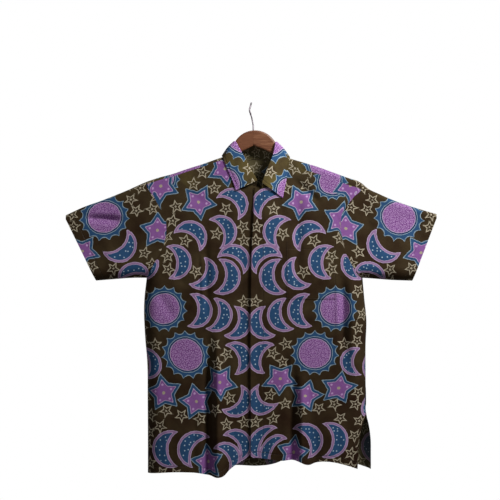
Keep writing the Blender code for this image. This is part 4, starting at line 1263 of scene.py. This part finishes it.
right, left = fronts["right"], fronts["left"]
hem_runs = [sewn_run(left["grid"], left["hem"], 1, 1), sewn_run(right["grid"], right["hem"], 1, -1),
            sewn_run(back_sheet["grid"], back_sheet["hem"], 1, -1)]
fly_run = sewn_run(right["grid"], right["flat"][..., 0] - (FLY_LINE - AXIS_X), 0, -1)
cuff_runs = [sewn_run(sleeves[side]["grid"], sleeves[side]["hem"], 0, way, closed=True)
             for side, way in (("left", 1), ("right", -1))]
# The leaf's rows stop short of its corners, so that they meet there without crossing.
leaf_runs = [sewn_run(leaf_sheet["grid"], leaf_sheet["edge"] - LEAF_INSET, 0, -1,
                      lift=LEAF_LIFT_OFF)[5:-5]]
leaf_runs += [sewn_run(leaf_sheet["grid"][:, end], leaf_sheet["end"][:, end] - LEAF_INSET, 1, -1,
                       lift=LEAF_LIFT_OFF)[8:-4] for end in (slice(0, 40), slice(-40, None))]
pocket_runs = [sewn_run(pocket_grid, pocket_lines[line], axis, 1)
               for line, axis in (("left", 0), ("right", 0), ("bottom", 1), ("mouth", 1))]
for name, runs, seed in (("hem_stitches", hem_runs, 3), ("fly_stitches", [fly_run], 5),
                         ("cuff_stitches", cuff_runs, 7), ("collar_stitches", leaf_runs, 11),
                         ("pocket_stitches", pocket_runs, 13)):
    sewn = stitch_lines(name, runs, seed)
    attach(sewn, "root")

# ---- Buttons ----------------------------------------------------------------------------------
# Six plain round buttons of cast polyester resin, hidden between the two fronts. Their shapes
# are the solids' own.

resin = mottled("polyester_resin_button", 260.0, ((0.35, "#2A211B"), (0.65, "#4A3B2C")), 0.28,
                detail=3.0, distortion=1.2)[0]
for number in range(1, 7):
    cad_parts[f"button_{number}"].data.materials[0] = resin

# ---- Studio -----------------------------------------------------------------------------------
# A pale floor well below the hem, a white surround, two soft lamps in front and one behind.

FLOOR_Z, FLOOR_HALF = -3400, 20000.0
floor_paint, tree, shader, _ = mottled("pale_floor", 3.0, ((0.3, "#EDEDEB"), (0.7, "#F2F2F0")), 0.9)
feed(tree, shader, {"Emission Color": (1.0, 1.0, 0.99, 1.0), "Emission Strength": 0.6})
floor = mesh_object("floor", [(x * FLOOR_HALF, y * FLOOR_HALF, FLOOR_Z)
                              for x, y in ((-1, -1), (1, -1), (1, 1), (-1, 1))],
                    [(0, 1, 2, 3)], floor_paint, smooth=False)
# The floor is bright to look at and throws no light up under the hem.
floor.visible_diffuse = floor.visible_glossy = False

# The surround is white to look at and lights the shirt with a small part of that.
SURROUND_LIGHT = 0.175
world = bpy.data.worlds.new("white_surround")
world.use_nodes = True
sky = world.node_tree.nodes["Background"]
sky.inputs["Color"].default_value = (1.0, 1.0, 1.0, 1.0)
seen = add(world.node_tree, "ShaderNodeLightPath").outputs["Is Camera Ray"]
feed(world.node_tree, sky,
     {"Strength": ranged(world.node_tree, seen, 0.0, 1.0, SURROUND_LIGHT, 1.0)})
bpy.context.scene.world = world

# Lamps: name, place, aim, width and height, watts
for name, place, aim, size, watts in (
        ("key", (1.2, -1.1, 1.0), (0.05, 0.0, -0.4), (0.5, 0.42), 54.5),
        ("fill", (-1.8, -2.4, 0.2), (0.0, 0.0, -0.4), (1.2, 1.4), 3.0),
        ("behind", (0.4, 2.4, 1.2), (0.0, 0.0, -0.4), (1.6, 1.4), 34.0)):
    lamp = bpy.data.lights.new(name, "AREA")
    lamp.shape, lamp.size, lamp.size_y, lamp.energy = "RECTANGLE", *size, watts
    obj = placed(name, lamp)
    obj.location = place
    way = np.array(aim) - np.array(place)
    obj.rotation_euler = (float(np.arctan2(np.hypot(way[0], way[1]), -way[2])), 0.0,
                          float(np.arctan2(-way[0], way[1])))

# The camera stands 6 m off at mid height, with a long lens: 1275 mm across at the shirt.
VIEW_WIDTH, TO_SHIRT = 1.275, 5.98
camera = bpy.data.cameras.new("camera")
camera.sensor_width = 36.0
camera.lens = camera.sensor_width * TO_SHIRT / VIEW_WIDTH
camera.clip_end = 100.0
viewer = placed("camera", camera)
viewer.location = (-0.00405, -6.0, -0.3749)
viewer.rotation_euler = (radians(90), 0.0, 0.0)
bpy.context.scene.camera = viewer
bpy.context.scene.view_settings.view_transform = "Standard"
